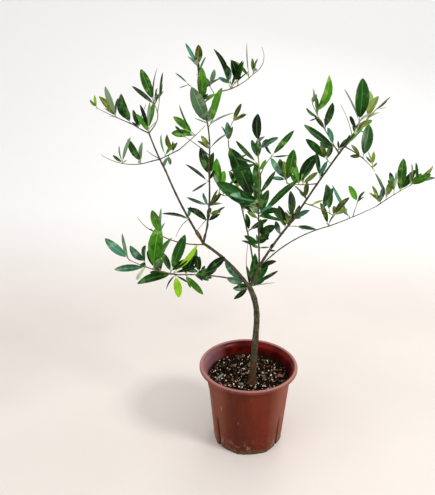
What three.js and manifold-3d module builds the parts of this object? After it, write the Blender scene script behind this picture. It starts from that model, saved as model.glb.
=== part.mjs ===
// A young olive tree, about 590 mm tall with its pot, in a round 150 mm nursery pot.
// Millimetres, +Z up. The origin is the centre of the pot's flat underside. -Y is the front,
// and +X is to the right of it. Every limb grows out of an earlier one, and every mass of
// foliage grows out of a limb, along a path that bends steadily from one heading to another.
import * as THREE from 'three';
import { mergeVertices } from 'three/addons/utils/BufferGeometryUtils.js';
import Module from 'manifold-3d';

const wasm = await Module();
wasm.setup();

// ---- Driving dimensions ----

const CLEARANCE = 0.3; // between two pieces that touch

const POT = {
  height: 130,
  floor: 1.6,
  wall: 1.3,
  waist: 80, // where the facets begin to fade out upwards
  footRadius: 54.5,
  shoulderRadius: 66, // the body's outside, where it meets the lip
  mouthRadius: 69,
  rimRadius: 75,
  lipHeight: 7,
  edge: 1.6, // size of the rounded edges
  facets: 8,
  facetEdge: -15.5, // bearing of one edge between two facets, from the front towards +X
  facetDepth: 1.6, // how far a facet's middle lies inside the round
  facetFade: [2, 14], // below the lip, where the facets fade in
  columns: 48,
};

// Wedge-shaped flutes pressed into the foot of the wall, each at its own bearing.
const FLUTES = { bearings: [-53, 52, 179.5], height: 44, depth: 3, halfWidth: 3.5 };

// Small drain openings through the corner of wall and floor.
const DRAINS = { count: 3, bearing: -13, width: 7, height: 3, reach: 6 };

// The soil's top is level where the trunk stands, and rolls in low waves round it, by degrees
// of twist for each millimetre outwards. It has shrunk a little from the wall.
const SOIL = { top: 109, levelRadius: 34, rings: 2, wave: 1.8, waves: 3, twist: 4, wallGap: 0.4 };

// The trunk leans and bends in two stretches, each a length with its first and last heading.
// A heading is an azimuth from +X towards +Y and a rise above the horizontal, in degrees.
const TRUNK = {
  foot: [5, -18, SOIL.top + CLEARANCE],
  stretches: [
    { length: 92, azimuth: [72, 62], rise: [78, 84] },
    { length: 61, azimuth: [122, 172], rise: [94, 62] },
  ],
  radius: [4.9, 3.9],
  flare: { radius: 2.6, height: 9, ribs: 3, rib: 0.7 },
  sides: 12,
  steps: 13,
};

// How finely the limbs are faceted. Those thicker than thickFrom at their base get more sides.
const FACETING = { stepLength: 22, thickFrom: 2, thickSides: 8, thinSides: 6 };

// Each limb leaves another one at a share of its length, and tapers from one radius to another.
function limb(on, at, length, azimuth, rise, radius) {
  return { on, at, length, azimuth, rise, radius };
}

const LIMBS = {
  left_bough_low: limb('trunk', 1, 93, [160, 158], [52, 26], [2.5, 2.1]),
  left_bough_middle: limb('left_bough_low', 1, 118, [156, 136], [54, 58], [1.8, 1.4]),
  left_bough_top: limb('left_bough_middle', 1, 62, [142, 134], [54, 60], [1.4, 1.1]),
  middle_bough_low: limb('left_bough_low', 1, 127, [316, 252], [72, 80], [1.4, 1.2]),
  middle_bough_top: limb('middle_bough_low', 1, 89, [298, 206], [76, 72], [1.2, 0.9]),
  leader_twig: limb('middle_bough_top', 1, 18, [208, 244], [74, 74], [1, 0.9]),
  centre_stem: limb('trunk', 1, 34, [8, 34], [58, 70], [2.4, 2.1]),
  centre_bough: limb('centre_stem', 1, 125, [262, 264], [62, 52], [1.3, 1]),
  back_bough: limb('centre_stem', 0.45, 215, [90, 138], [32, 80], [1.3, 0.9]),
  right_bough_low: limb('centre_stem', 1, 85, [2, 0], [62, 52], [2, 1.6]),
  right_bough_middle: limb('right_bough_low', 1, 113, [346, 330], [62, 58], [1.6, 1.3]),
  right_bough_top: limb('right_bough_middle', 1, 49, [316, 320], [54, 54], [1.3, 1]),
  right_shoot_low: limb('centre_stem', 0.9, 150, [50, 26], [22, 4], [1.1, 0.9]),
  right_shoot_top: limb('right_shoot_low', 1, 88, [20, 18], [12, 20], [0.9, 0.7]),
  low_left_twig: limb('left_bough_low', 0.1, 156, [230, 232], [28, 18], [1.2, 0.8]),
  left_side_twig: limb('left_bough_low', 0.97, 88, [190, 204], [0, 44], [1, 0.7]),
  far_left_twig: limb('left_bough_top', 1, 32, [144, 154], [12, 26], [1, 0.8]),
  low_side_twig: limb('left_bough_top', 0.33, 27, [156, 150], [-16, -20], [0.9, 0.8]),
  inner_left_twig: limb('left_bough_top', 0.33, 39, [326, 330], [26, 28], [0.9, 0.8]),
  top_right_twig: limb('middle_bough_top', 0.97, 32, [42, 42], [24, 22], [1, 0.8]),
};

// Each mass of foliage starts on a limb and tapers to its tip. Half is its usual half width.
function mass(on, at, length, azimuth, rise, half) {
  return { on, at, length, azimuth, rise, half };
}

const MASSES = {
  left_tip: mass('far_left_twig', 0.95, 62, [155, 160], [40, 30], 20),
  left_top: mass('left_bough_top', 0.95, 102, [315, 255], [75, 75], 19),
  left_side: mass('low_side_twig', 0.95, 78, [140, 160], [10, -5], 13),
  left_inner: mass('inner_left_twig', 0.95, 82, [285, 315], [25, 55], 18),
  leader: mass('leader_twig', 0.9, 55, [270, 285], [65, 75], 18),
  top_right: mass('top_right_twig', 0.95, 96, [50, 35], [10, 55], 17),
  middle_right: mass('middle_bough_top', 0.1, 108, [300, 315], [45, 80], 17),
  middle_left: mass('middle_bough_top', 0.8, 64, [240, 230], [25, 65], 13),
  middle_low_right: mass('middle_bough_low', 0.3, 114, [305, 295], [65, 65], 17),
  middle_low_left: mass('middle_bough_low', 0.05, 86, [255, 160], [85, 65], 13),
  back_top: mass('back_bough', 0.98, 74, [70, 115], [75, 70], 15),
  back_low: mass('back_bough', 0.45, 60, [85, 160], [-20, 80], 16),
  centre: mass('centre_bough', 0.9, 123, [255, 250], [55, 50], 18),
  centre_top: mass('centre_bough', 0.98, 136, [275, 270], [75, 65], 14),
  centre_right: mass('right_bough_middle', 0.4, 106, [245, 215], [35, 35], 17),
  right_high: mass('right_bough_middle', 0.9, 98, [180, 115], [65, 60], 16),
  right_top: mass('right_bough_top', 0.7, 77, [275, 265], [80, 65], 19),
  right_tip: mass('right_bough_top', 0.97, 51, [0, -15], [45, 55], 11),
  right_drop: mass('right_bough_top', 0.05, 62, [315, 300], [30, -55], 11),
  right_low: mass('right_bough_middle', 0.25, 81, [305, 310], [-10, 65], 16),
  shoot_inner: mass('right_shoot_top', 0.4, 58, [75, 50], [45, 75], 12),
  shoot_outer: mass('right_shoot_top', 0.97, 95, [30, 25], [40, 10], 20),
  centre_low: mass('centre_stem', 0.95, 155, [310, 285], [75, 45], 17),
  fork: mass('left_bough_low', 0.08, 80, [280, 340], [20, 60], 17),
  low_left_inner: mass('low_left_twig', 0.45, 107, [230, 230], [30, 25], 22),
  low_left_outer: mass('low_left_twig', 0.97, 99, [200, 200], [25, 30], 19),
  left_low: mass('left_side_twig', 0.6, 62, [230, 275], [40, 85], 12),
  left_low_drop: mass('left_side_twig', 0.95, 60, [285, 185], [-10, -115], 12),
  centre_back: mass('back_bough', 0.3, 116, [60, 75], [25, 45], 17),
};

// How every mass of foliage swells into pairs of lobes, as its leaves stand on their twigs. Core
// and swell are shares of its half width, and turn is how many degrees each mass is turned
// further than the last.
const LOBES = { spacing: 27, core: 0.55, swell: 0.75, spread: 0.45, lean: 0.35, turn: 37, sides: 8 };

// ---- Materials ----

function finish(color, roughness, metalness = 0) {
  return new THREE.MeshStandardMaterial({ color, roughness, metalness });
}

const potPlastic = finish(0x8a3326, 0.45);
const pottingMix = finish(0x2a211b, 0.95);
const bark = finish(0x6b6753, 0.8);
const leafGreen = finish(0x35582f, 0.5);

// ---- Solids ----

const rad = THREE.MathUtils.degToRad;

// A closed geometry as a solid that can be cut.
function solidOf(geometry) {
  const bare = geometry.clone();
  bare.deleteAttribute('normal');
  bare.deleteAttribute('uv');
  const merged = mergeVertices(bare, 1e-4);
  const mesh = new wasm.Mesh({
    numProp: 3,
    vertProperties: new Float32Array(merged.attributes.position.array),
    triVerts: new Uint32Array(merged.index.array),
  });
  mesh.merge();
  return new wasm.Manifold(mesh);
}

// A solid back as a flat-shaded geometry.
function geometryOf(solid) {
  const mesh = solid.getMesh();
  const geometry = new THREE.BufferGeometry();
  geometry.setAttribute('position', new THREE.BufferAttribute(mesh.vertProperties, 3));
  geometry.setIndex(new THREE.BufferAttribute(mesh.triVerts, 1));
  geometry.computeVertexNormals();
  return geometry;
}

// Only the biggest piece of a solid that a cut has parted.
function biggest(solid) {
  return solid.decompose().reduce((best, piece) => (piece.volume() > best.volume() ? piece : best));
}

// ---- Growth ----

// The unit vector of a heading.
function headingVector(azimuth, rise) {
  const flat = Math.cos(rad(rise));
  return new THREE.Vector3(Math.cos(rad(azimuth)) * flat, Math.sin(rad(azimuth)) * flat, Math.sin(rad(rise)));
}

// A curve that leaves a point and bends steadily through each stretch.
function growthCurve(start, stretches) {
  const steps = 12;
  const point = start.clone();
  const points = [point.clone()];
  for (const { length, azimuth, rise } of stretches) {
    for (let step = 0; step < steps; step += 1) {
      const share = (step + 0.5) / steps;
      const heading = headingVector(
        THREE.MathUtils.lerp(azimuth[0], azimuth[1], share),
        THREE.MathUtils.lerp(rise[0], rise[1], share),
      );
      point.addScaledVector(heading, length / steps);
      points.push(point.clone());
    }
  }
  return new THREE.CatmullRomCurve3(points);
}

// A closed body round a curve. The upright primitive is bent onto the curve: its height gives
// the place along the curve, and radiusAt(share, angle) gives the distance out from it.
function bodyAlong(curve, upright, steps, radiusAt, leanAt = () => 0) {
  const frames = curve.computeFrenetFrames(steps, false);
  const positions = upright.attributes.position;
  const across = new THREE.Vector3();
  for (let i = 0; i < positions.count; i += 1) {
    const share = THREE.MathUtils.clamp(positions.getY(i) + 0.5, 0, 1);
    const angle = Math.atan2(positions.getZ(i), positions.getX(i));
    const onAxis = Math.hypot(positions.getX(i), positions.getZ(i)) < 1e-6;
    const radius = onAxis ? 0 : radiusAt(share, angle);
    const frame = Math.round(share * steps);
    across.copy(frames.normals[frame]).multiplyScalar(Math.cos(angle));
    across.addScaledVector(frames.binormals[frame], -Math.sin(angle));
    const point = curve.getPointAt(share).addScaledVector(across, radius);
    point.addScaledVector(frames.tangents[frame], leanAt(share, radius));
    positions.setXYZ(i, point.x, point.y, point.z);
  }
  return solidOf(upright);
}

// How far the ends of a limb are pushed out along it, to grow it by a margin there too.
function endOverrun(share, before, after) {
  if (share === 0) {
    return -before;
  }
  return share === 1 ? after : 0;
}

// A tapering limb, grown by a margin where it is used to cut its neighbours.
function limbSolid(curve, [base, tip], margin = 0) {
  const steps = Math.max(3, Math.round(curve.getLength() / FACETING.stepLength));
  const sides = base > FACETING.thickFrom ? FACETING.thickSides : FACETING.thinSides;
  const bar = new THREE.CylinderGeometry(1, 1, 1, sides, steps);
  const radiusAt = (share) => THREE.MathUtils.lerp(base, tip, share) + margin;
  return bodyAlong(curve, bar, steps, radiusAt, (share) => endOverrun(share, margin, margin));
}

// The trunk: a limb with a ribbed root flare, cut flat at its foot.
function trunkSolid(curve, margin = 0) {
  const { foot, radius, flare, sides, steps } = TRUNK;
  const length = curve.getLength();
  const bar = new THREE.CylinderGeometry(1, 1, 1, sides, steps);
  const radiusAt = (share, angle) => {
    const fade = Math.exp((-share * length) / flare.height);
    const ribs = flare.rib * Math.cos(flare.ribs * angle);
    return THREE.MathUtils.lerp(radius[0], radius[1], share) + (flare.radius + ribs) * fade + margin;
  };
  const below = 4;
  const slab = new THREE.BoxGeometry(60, 60, 4 * below);
  slab.translate(foot[0], foot[1], foot[2] - margin - 2 * below);
  const post = bodyAlong(curve, bar, steps, radiusAt, (share) => endOverrun(share, below, margin));
  return post.subtract(solidOf(slab));
}

// A mass of foliage: a spindle along its curve, swollen into opposite pairs of lobes, each pair
// a quarter turn from the last and leaning towards the tip.
function massSolid(curve, half, phase, margin = 0) {
  const { spacing, core, swell, spread, lean, turn, sides } = LOBES;
  const pairs = Math.max(2, Math.round(curve.getLength() / spacing));
  const radiusAt = (share, angle) => {
    const spindle = Math.sin(Math.PI * share ** 0.85) ** 0.7;
    let lobes = 0;
    for (let pair = 0; pair < pairs; pair += 1) {
      const middle = (pair + 0.8) / (pairs + 0.5);
      const along = ((share - middle) * pairs) / spread;
      const facing = Math.cos(angle - rad(90 * pair + turn * phase));
      lobes += Math.exp(-along * along) * facing * facing;
    }
    return half * spindle * (core + swell * lobes) + margin;
  };
  const leanAt = (share, radius) =>
    lean * radius * Math.sin(Math.PI * share) + endOverrun(share, 0, margin);
  const ball = new THREE.SphereGeometry(0.5, sides, 2 * pairs + 2);
  const frameSteps = 40;
  return bodyAlong(curve, ball, frameSteps, radiusAt, leanAt);
}

// ---- Pot and soil ----

// Degrees from the nearest of several evenly spaced bearings.
function offBearing(angle, count, bearing) {
  const pitch = 360 / count;
  return THREE.MathUtils.euclideanModulo(angle - bearing + pitch / 2, pitch) - pitch / 2;
}

// Degrees from the middle of the nearest flute.
function offFlute(angle) {
  const offs = FLUTES.bearings.map((bearing) => offBearing(angle, 1, bearing));
  return offs.reduce((best, off) => (Math.abs(off) < Math.abs(best) ? off : best));
}

// Pulls a column of the wall in to the edge of a flute, so that the flute has crisp sides.
function columnBearing(column) {
  const columnPitch = 360 / POT.columns;
  const angle = FLUTES.bearings[0] + column * columnPitch;
  const off = offFlute(angle);
  const isFluteEdge = Math.abs(Math.abs(off) - columnPitch) < 1;
  return isFluteEdge ? angle - Math.sign(off) * (columnPitch - FLUTES.halfWidth) : angle;
}

// How far the wall lies inside its round profile, for its facets and flutes.
function pressedIn(angle, z) {
  const facetHalf = 180 / POT.facets;
  const facetShare = offBearing(angle, POT.facets, POT.facetEdge + facetHalf) / facetHalf;
  const fadeIn = THREE.MathUtils.smoothstep(POT.height - POT.lipHeight - z, ...POT.facetFade);
  const facet = POT.facetDepth * (1 - facetShare * facetShare) * fadeIn;
  const isFlute = Math.abs(offFlute(angle)) < 1 && z < FLUTES.height;
  const flute = isFlute ? FLUTES.depth * (1 - z / FLUTES.height) + POT.facetDepth - facet : 0;
  return facet + flute;
}

// The wall's inside radius at a height, on its round profile.
function insideRadius(z) {
  const top = POT.height - POT.lipHeight;
  return THREE.MathUtils.mapLinear(z, 0, top, POT.footRadius, POT.shoulderRadius) - POT.wall;
}

// A solid turned from a profile of [radius, height] pairs, then pressed in like the wall. Its
// points can also be raised by liftAt(angle, radius, height).
function turned(profile, liftAt = () => 0) {
  const points = profile.map(([radius, z]) => new THREE.Vector2(radius, z));
  const lathe = new THREE.LatheGeometry(points, POT.columns);
  const positions = lathe.attributes.position;
  for (let i = 0; i < positions.count; i += 1) {
    const [x, z, y] = [positions.getX(i), positions.getY(i), positions.getZ(i)];
    const radius = Math.hypot(x, y);
    const column = Math.round((Math.atan2(x, y) / (2 * Math.PI)) * POT.columns);
    const angle = columnBearing(column);
    const pressed = radius > POT.footRadius / 2 ? radius - pressedIn(angle, z) : radius;
    const lifted = z + liftAt(angle, radius, z);
    positions.setXYZ(i, Math.sin(rad(angle)) * pressed, -Math.cos(rad(angle)) * pressed, lifted);
  }
  return solidOf(lathe);
}

// The body and its lip as one turned solid, hollowed out and opened at the drains.
function potSolid() {
  const { height, floor, footRadius, shoulderRadius, mouthRadius, rimRadius, lipHeight, edge } = POT;
  const lipFoot = height - lipHeight;
  const body = turned([
    [0, 0],
    [footRadius - edge, 0],
    [footRadius, edge],
    [insideRadius(FLUTES.height) + POT.wall, FLUTES.height],
    [insideRadius(POT.waist) + POT.wall, POT.waist],
    [shoulderRadius, lipFoot],
    [rimRadius - edge, lipFoot],
    [rimRadius, lipFoot + edge],
    [rimRadius, height - edge],
    [rimRadius - edge, height],
    [0, height],
  ]);
  const hollow = turned([
    [0, floor],
    [insideRadius(floor), floor],
    [insideRadius(FLUTES.height), FLUTES.height],
    [insideRadius(POT.waist), POT.waist],
    [insideRadius(lipFoot - edge), lipFoot - edge],
    [mouthRadius, height - edge],
    [mouthRadius + edge, height],
    [mouthRadius + edge, height + edge],
    [0, height + edge],
  ]);
  let pot = body.subtract(hollow);
  for (let i = 0; i < DRAINS.count; i += 1) {
    const drain = new THREE.BoxGeometry(DRAINS.width, 2 * DRAINS.reach, 2 * DRAINS.height);
    drain.translate(0, -footRadius, 0);
    drain.rotateZ(rad(DRAINS.bearing + (i * 360) / DRAINS.count));
    pot = pot.subtract(solidOf(drain));
  }
  return pot;
}

// The soil fills the pot up to an uneven top, which is level where the trunk stands.
function soilSolid() {
  const bottom = POT.floor + CLEARANCE;
  const edgeRadius = insideRadius(SOIL.top) - SOIL.wallGap;
  const profile = [
    [0, bottom],
    [insideRadius(bottom) - SOIL.wallGap, bottom],
    [insideRadius(FLUTES.height) - SOIL.wallGap, FLUTES.height],
    [insideRadius(POT.waist) - SOIL.wallGap, POT.waist],
    [edgeRadius, SOIL.top],
  ];
  for (let ring = SOIL.rings - 1; ring >= 0; ring -= 1) {
    profile.push([SOIL.levelRadius + ((edgeRadius - SOIL.levelRadius) * ring) / SOIL.rings, SOIL.top]);
  }
  profile.push([0, SOIL.top]);
  return turned(profile, (angle, radius, z) => {
    const isOpenTop = z === SOIL.top && radius > SOIL.levelRadius + 1 && radius < edgeRadius - 1;
    return isOpenTop ? SOIL.wave * Math.sin(rad(SOIL.waves * angle + SOIL.twist * radius)) : 0;
  });
}

// ---- The tree ----

const tree = new THREE.Group();
const curves = {};
const keepOuts = [];

// Adds a piece, cut clear of every earlier one.
function place(name, material, solid, keepOut) {
  const cut = keepOuts.reduce((body, other) => body.subtract(other), solid);
  const mesh = new THREE.Mesh(geometryOf(biggest(cut)), material);
  mesh.name = name;
  tree.add(mesh);
  if (keepOut) {
    keepOuts.push(keepOut);
  }
}

place('pot', potPlastic, potSolid());
place('soil', pottingMix, soilSolid());

curves.trunk = growthCurve(new THREE.Vector3(...TRUNK.foot), TRUNK.stretches);
place('trunk', bark, trunkSolid(curves.trunk), trunkSolid(curves.trunk, CLEARANCE));

for (const [name, row] of Object.entries(LIMBS)) {
  const curve = growthCurve(curves[row.on].getPointAt(row.at), [row]);
  curves[name] = curve;
  place(name, bark, limbSolid(curve, row.radius), limbSolid(curve, row.radius, CLEARANCE));
}

Object.entries(MASSES).forEach(([name, row], index) => {
  const curve = growthCurve(curves[row.on].getPointAt(row.at), [row]);
  const keepOut = massSolid(curve, row.half, index, CLEARANCE);
  place(`foliage_${name}`, leafGreen, massSolid(curve, row.half, index), keepOut);
});

export default tree;
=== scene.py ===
"""A young olive tree in its nursery pot: the surfaces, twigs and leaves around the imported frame.

Sizes in the tables are millimetres and degrees, as a grower would measure them, and every mesh
is in metres. +Z is up, -Y is the front, and the origin is the centre of the pot's underside.
Each leafy spray leaves a limb or a twig and grows by one seeded rule.
"""

import logging
import math
import random
from dataclasses import dataclass, field
from enum import Enum

import bmesh
import bpy
import numpy as np
from mathutils import Matrix, Vector, noise


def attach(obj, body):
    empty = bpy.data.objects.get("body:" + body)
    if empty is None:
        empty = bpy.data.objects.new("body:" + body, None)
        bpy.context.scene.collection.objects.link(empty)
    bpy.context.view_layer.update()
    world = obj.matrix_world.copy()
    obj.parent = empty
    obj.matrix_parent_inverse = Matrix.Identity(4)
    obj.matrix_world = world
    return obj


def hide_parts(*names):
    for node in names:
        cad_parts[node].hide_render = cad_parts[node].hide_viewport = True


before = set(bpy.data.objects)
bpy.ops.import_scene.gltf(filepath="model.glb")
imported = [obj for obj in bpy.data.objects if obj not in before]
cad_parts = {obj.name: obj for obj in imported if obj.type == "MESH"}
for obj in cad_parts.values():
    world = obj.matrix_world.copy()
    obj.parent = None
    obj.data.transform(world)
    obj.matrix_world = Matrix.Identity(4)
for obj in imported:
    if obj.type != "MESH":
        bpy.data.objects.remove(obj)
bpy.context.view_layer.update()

BODY = "root"
MM = 0.001
UP = np.array([0.0, 0.0, 1.0])
FRONT = np.array([0.0, -1.0, 0.0])

# Two values, such as first and last, and three along X, Y and Z.
Span = tuple[float, float]
Triple = tuple[float, float, float]
Array = np.ndarray
Faces = list[tuple[int, ...]]
Piece = bpy.types.Object
Material = bpy.types.Material
Socket = bpy.types.NodeSocket

log = logging.getLogger("olive")


# ---- Growth ----


def unit(vector: Array) -> Array:
    """The vector at a length of one."""
    return vector / max(float(np.linalg.norm(vector)), 1e-12)


def lerp(first: float, last: float, share: float) -> float:
    """The value at a share of the way from first to last."""
    return first + (last - first) * share


def heading(azimuth: float, rise: float) -> Array:
    """The unit vector of an azimuth from +X towards +Y and a rise above level, in degrees."""
    turn = math.radians(azimuth)
    climb = math.radians(rise)
    flat = math.cos(climb)
    return np.array([math.cos(turn) * flat, math.sin(turn) * flat, math.sin(climb)])


@dataclass(frozen=True)
class Line:
    """The middle line of a limb or twig.

    Attributes:
        points: Points along the line, in millimetres.
        headings: The unit direction of growth at each point.
    """

    points: Array
    headings: Array

    @classmethod
    def grown(cls, start: Array, stretches: list[tuple], steps: int = 12) -> "Line":
        """Grows a line that bends steadily through each stretch.

        Args:
            start: Where the line begins, in millimetres.
            stretches: A (length, azimuths, rises) for each stretch, first and last of each.
            steps: How many straight steps make a stretch.

        Returns:
            The grown line.
        """
        points = [np.array(start, float)]
        headings = [heading(stretches[0][1][0], stretches[0][2][0])]
        for length, azimuth, rise in stretches:
            for step in range(steps):
                middle = (step + 0.5) / steps
                ahead = heading(lerp(*azimuth, middle), lerp(*rise, middle))
                points.append(points[-1] + ahead * length / steps)
                after = (step + 1) / steps
                headings.append(heading(lerp(*azimuth, after), lerp(*rise, after)))
        return cls(np.array(points), np.array(headings))

    @property
    def length(self) -> float:
        """The line's length in millimetres."""
        return float(np.linalg.norm(np.diff(self.points, axis=0), axis=1).sum())

    def _at(self, values: Array, share: float) -> Array:
        """The values at a share of the length, by straight steps."""
        place = min(max(share, 0.0), 1.0) * (len(values) - 1)
        low = min(int(place), len(values) - 2)
        return values[low] + (values[low + 1] - values[low]) * (place - low)

    def point(self, share: float) -> Array:
        """The point at a share of the length."""
        return self._at(self.points, share)

    def direction(self, share: float) -> Array:
        """The unit direction of growth at a share of the length."""
        return unit(self._at(self.headings, share))


@dataclass(frozen=True)
class Limb:
    """A woody limb that leaves an earlier one and tapers.

    Attributes:
        name: The limb's own name, which is its node's name too.
        on: The limb that it leaves.
        at: The share of that limb's length where it leaves.
        length: Millimetres along its middle line.
        azimuth: First and last azimuth, in degrees.
        rise: First and last rise, in degrees.
        radius: First and last radius, in millimetres.
    """

    name: str
    on: str
    at: float
    length: float
    azimuth: Span
    rise: Span
    radius: Span


TRUNK = "trunk"
# Where the trunk leaves the soil, its stretches as Line.grown takes them, and its radii.
TRUNK_FOOT = (5, -18, 109.3)
TRUNK_STRETCHES = [(92, (72, 62), (78, 84)), (61, (122, 172), (94, 62))]
TRUNK_RADIUS = (4.9, 3.9)

LIMBS = (
    Limb("left_bough_low", TRUNK, 1, 93, (160, 158), (52, 26), (2.5, 2.1)),
    Limb("left_bough_middle", "left_bough_low", 1, 118, (156, 136), (54, 58), (1.8, 1.4)),
    Limb("left_bough_top", "left_bough_middle", 1, 62, (142, 134), (54, 60), (1.4, 1.1)),
    Limb("middle_bough_low", "left_bough_low", 1, 127, (316, 252), (72, 80), (1.4, 1.2)),
    Limb("middle_bough_top", "middle_bough_low", 1, 89, (298, 206), (76, 72), (1.2, 0.9)),
    Limb("leader_twig", "middle_bough_top", 1, 18, (208, 244), (74, 74), (1, 0.9)),
    Limb("centre_stem", TRUNK, 1, 34, (8, 34), (58, 70), (2.4, 2.1)),
    Limb("centre_bough", "centre_stem", 1, 125, (262, 264), (62, 52), (1.3, 1)),
    Limb("back_bough", "centre_stem", 0.45, 215, (90, 138), (32, 80), (1.3, 0.9)),
    Limb("right_bough_low", "centre_stem", 1, 85, (2, 0), (62, 52), (2, 1.6)),
    Limb("right_bough_middle", "right_bough_low", 1, 113, (346, 330), (62, 58), (1.6, 1.3)),
    Limb("right_bough_top", "right_bough_middle", 1, 49, (316, 320), (54, 54), (1.3, 1)),
    Limb("right_shoot_low", "centre_stem", 0.9, 150, (50, 26), (22, 4), (1.1, 0.9)),
    Limb("right_shoot_top", "right_shoot_low", 1, 88, (20, 18), (12, 20), (0.9, 0.7)),
    Limb("low_left_twig", "left_bough_low", 0.1, 156, (230, 232), (28, 18), (1.2, 0.8)),
    Limb("left_side_twig", "left_bough_low", 0.97, 88, (190, 204), (0, 44), (1, 0.7)),
    Limb("far_left_twig", "left_bough_top", 1, 32, (144, 154), (12, 26), (1, 0.8)),
    Limb("low_side_twig", "left_bough_top", 0.33, 27, (156, 150), (-16, -20), (0.9, 0.8)),
    Limb("inner_left_twig", "left_bough_top", 0.33, 39, (326, 330), (26, 28), (0.9, 0.8)),
    Limb("top_right_twig", "middle_bough_top", 0.97, 32, (42, 42), (24, 22), (1, 0.8)),
)


def grow_on(lines: dict[str, Line], limbs: tuple[Limb, ...]) -> dict[str, Line]:
    """Adds the middle line of each limb to those that are there, by name."""
    for limb in limbs:
        start = lines[limb.on].point(limb.at)
        lines[limb.name] = Line.grown(start, [(limb.length, limb.azimuth, limb.rise)])
    return lines


# ---- Leafy sprays ----


class Tint(Enum):
    """The colour of a leaf, by the letter that a spray deals it out with."""

    DARK = "D"
    # BRIGHT is partly painted light through the leaf; BLUE and PALE are partly a painted sheen.
    BRIGHT = "B"
    OLIVE = "O"
    BLUE = "U"
    PALE = "P"
    LIME = "L"
    BROWN = "N"


@dataclass(frozen=True)
class Leaf:
    """One leaf as it stands on its twig.

    Attributes:
        base: Where its stalk leaves the twig, in millimetres.
        along: The unit direction from its base to its tip.
        face: The unit direction that its upper side faces.
        length: Millimetres from base to tip, stalk included.
        width: Millimetres across the blade.
        arch: How far the blade bends back, as a share of its length.
        twist: Degrees that the tip is turned about the midrib.
        tint: Its colour.
    """

    base: Array
    along: Array
    face: Array
    length: float
    width: float
    arch: float
    twist: float
    tint: Tint


@dataclass(frozen=True)
class Habit:
    """How this tree's leaves stand on their twigs, in pairs that cross each other.

    Attributes:
        forward: Least and most that a shoot leans to the front, in degrees.
        pair_turn: Degrees from one pair to the next.
        scatter: Usual error of a leaf's turn and opening, in degrees.
        size: Smallest and largest leaf, as shares of its spray's own lengths.
        slim: Least and most width of a slim leaf, as shares of its length.
        broad: Least and most width of the others.
        facing: Least and most that a leaf turns to the light.
        tilt: Usual error of that turn, in degrees, of a broad and of a slim leaf.
        arch: Least and most that a blade bends back.
        twist: Usual turn of the tip, in degrees.
        young: Least and most young leaves beside a spray's own.
        young_size: Smallest and largest of them, as shares of the spray's shorter leaf.
        young_opening: Least and most opening of them, in degrees.
    """

    forward: Span = (-22, 34)
    pair_turn: float = 90
    scatter: float = 6
    size: Span = (0.94, 1.08)
    slim: Span = (0.13, 0.21)
    broad: Span = (0.26, 0.39)
    facing: Span = (0.45, 1.0)
    tilt: Span = (17, 34)
    arch: Span = (-0.06, 0.16)
    twist: float = 14
    young: tuple[int, int] = (1, 2)
    young_size: Span = (0.5, 0.9)
    young_opening: Span = (25, 65)


HABIT = Habit()
# How strongly the leaves face upwards, to the front and out from the middle.
LIGHT_UP, LIGHT_FRONT, LIGHT_OUT = 0.7, 0.7, 0.3
# A young leaf never takes these tints: it is slim and dark instead.
OLD_TINTS = "LlN"
YOUNG_TINT = "d"
# How far a spray's seed is moved on for the draws of its leaves.
LEAF_DRAWS = 1000


def turned(vector: Array, axis: Array, degrees: float) -> Array:
    """The vector turned about a unit axis."""
    angle = math.radians(degrees)
    across = np.cross(axis, vector)
    along = axis * float(axis @ vector)
    return along + (vector - along) * math.cos(angle) + across * math.sin(angle)


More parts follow.
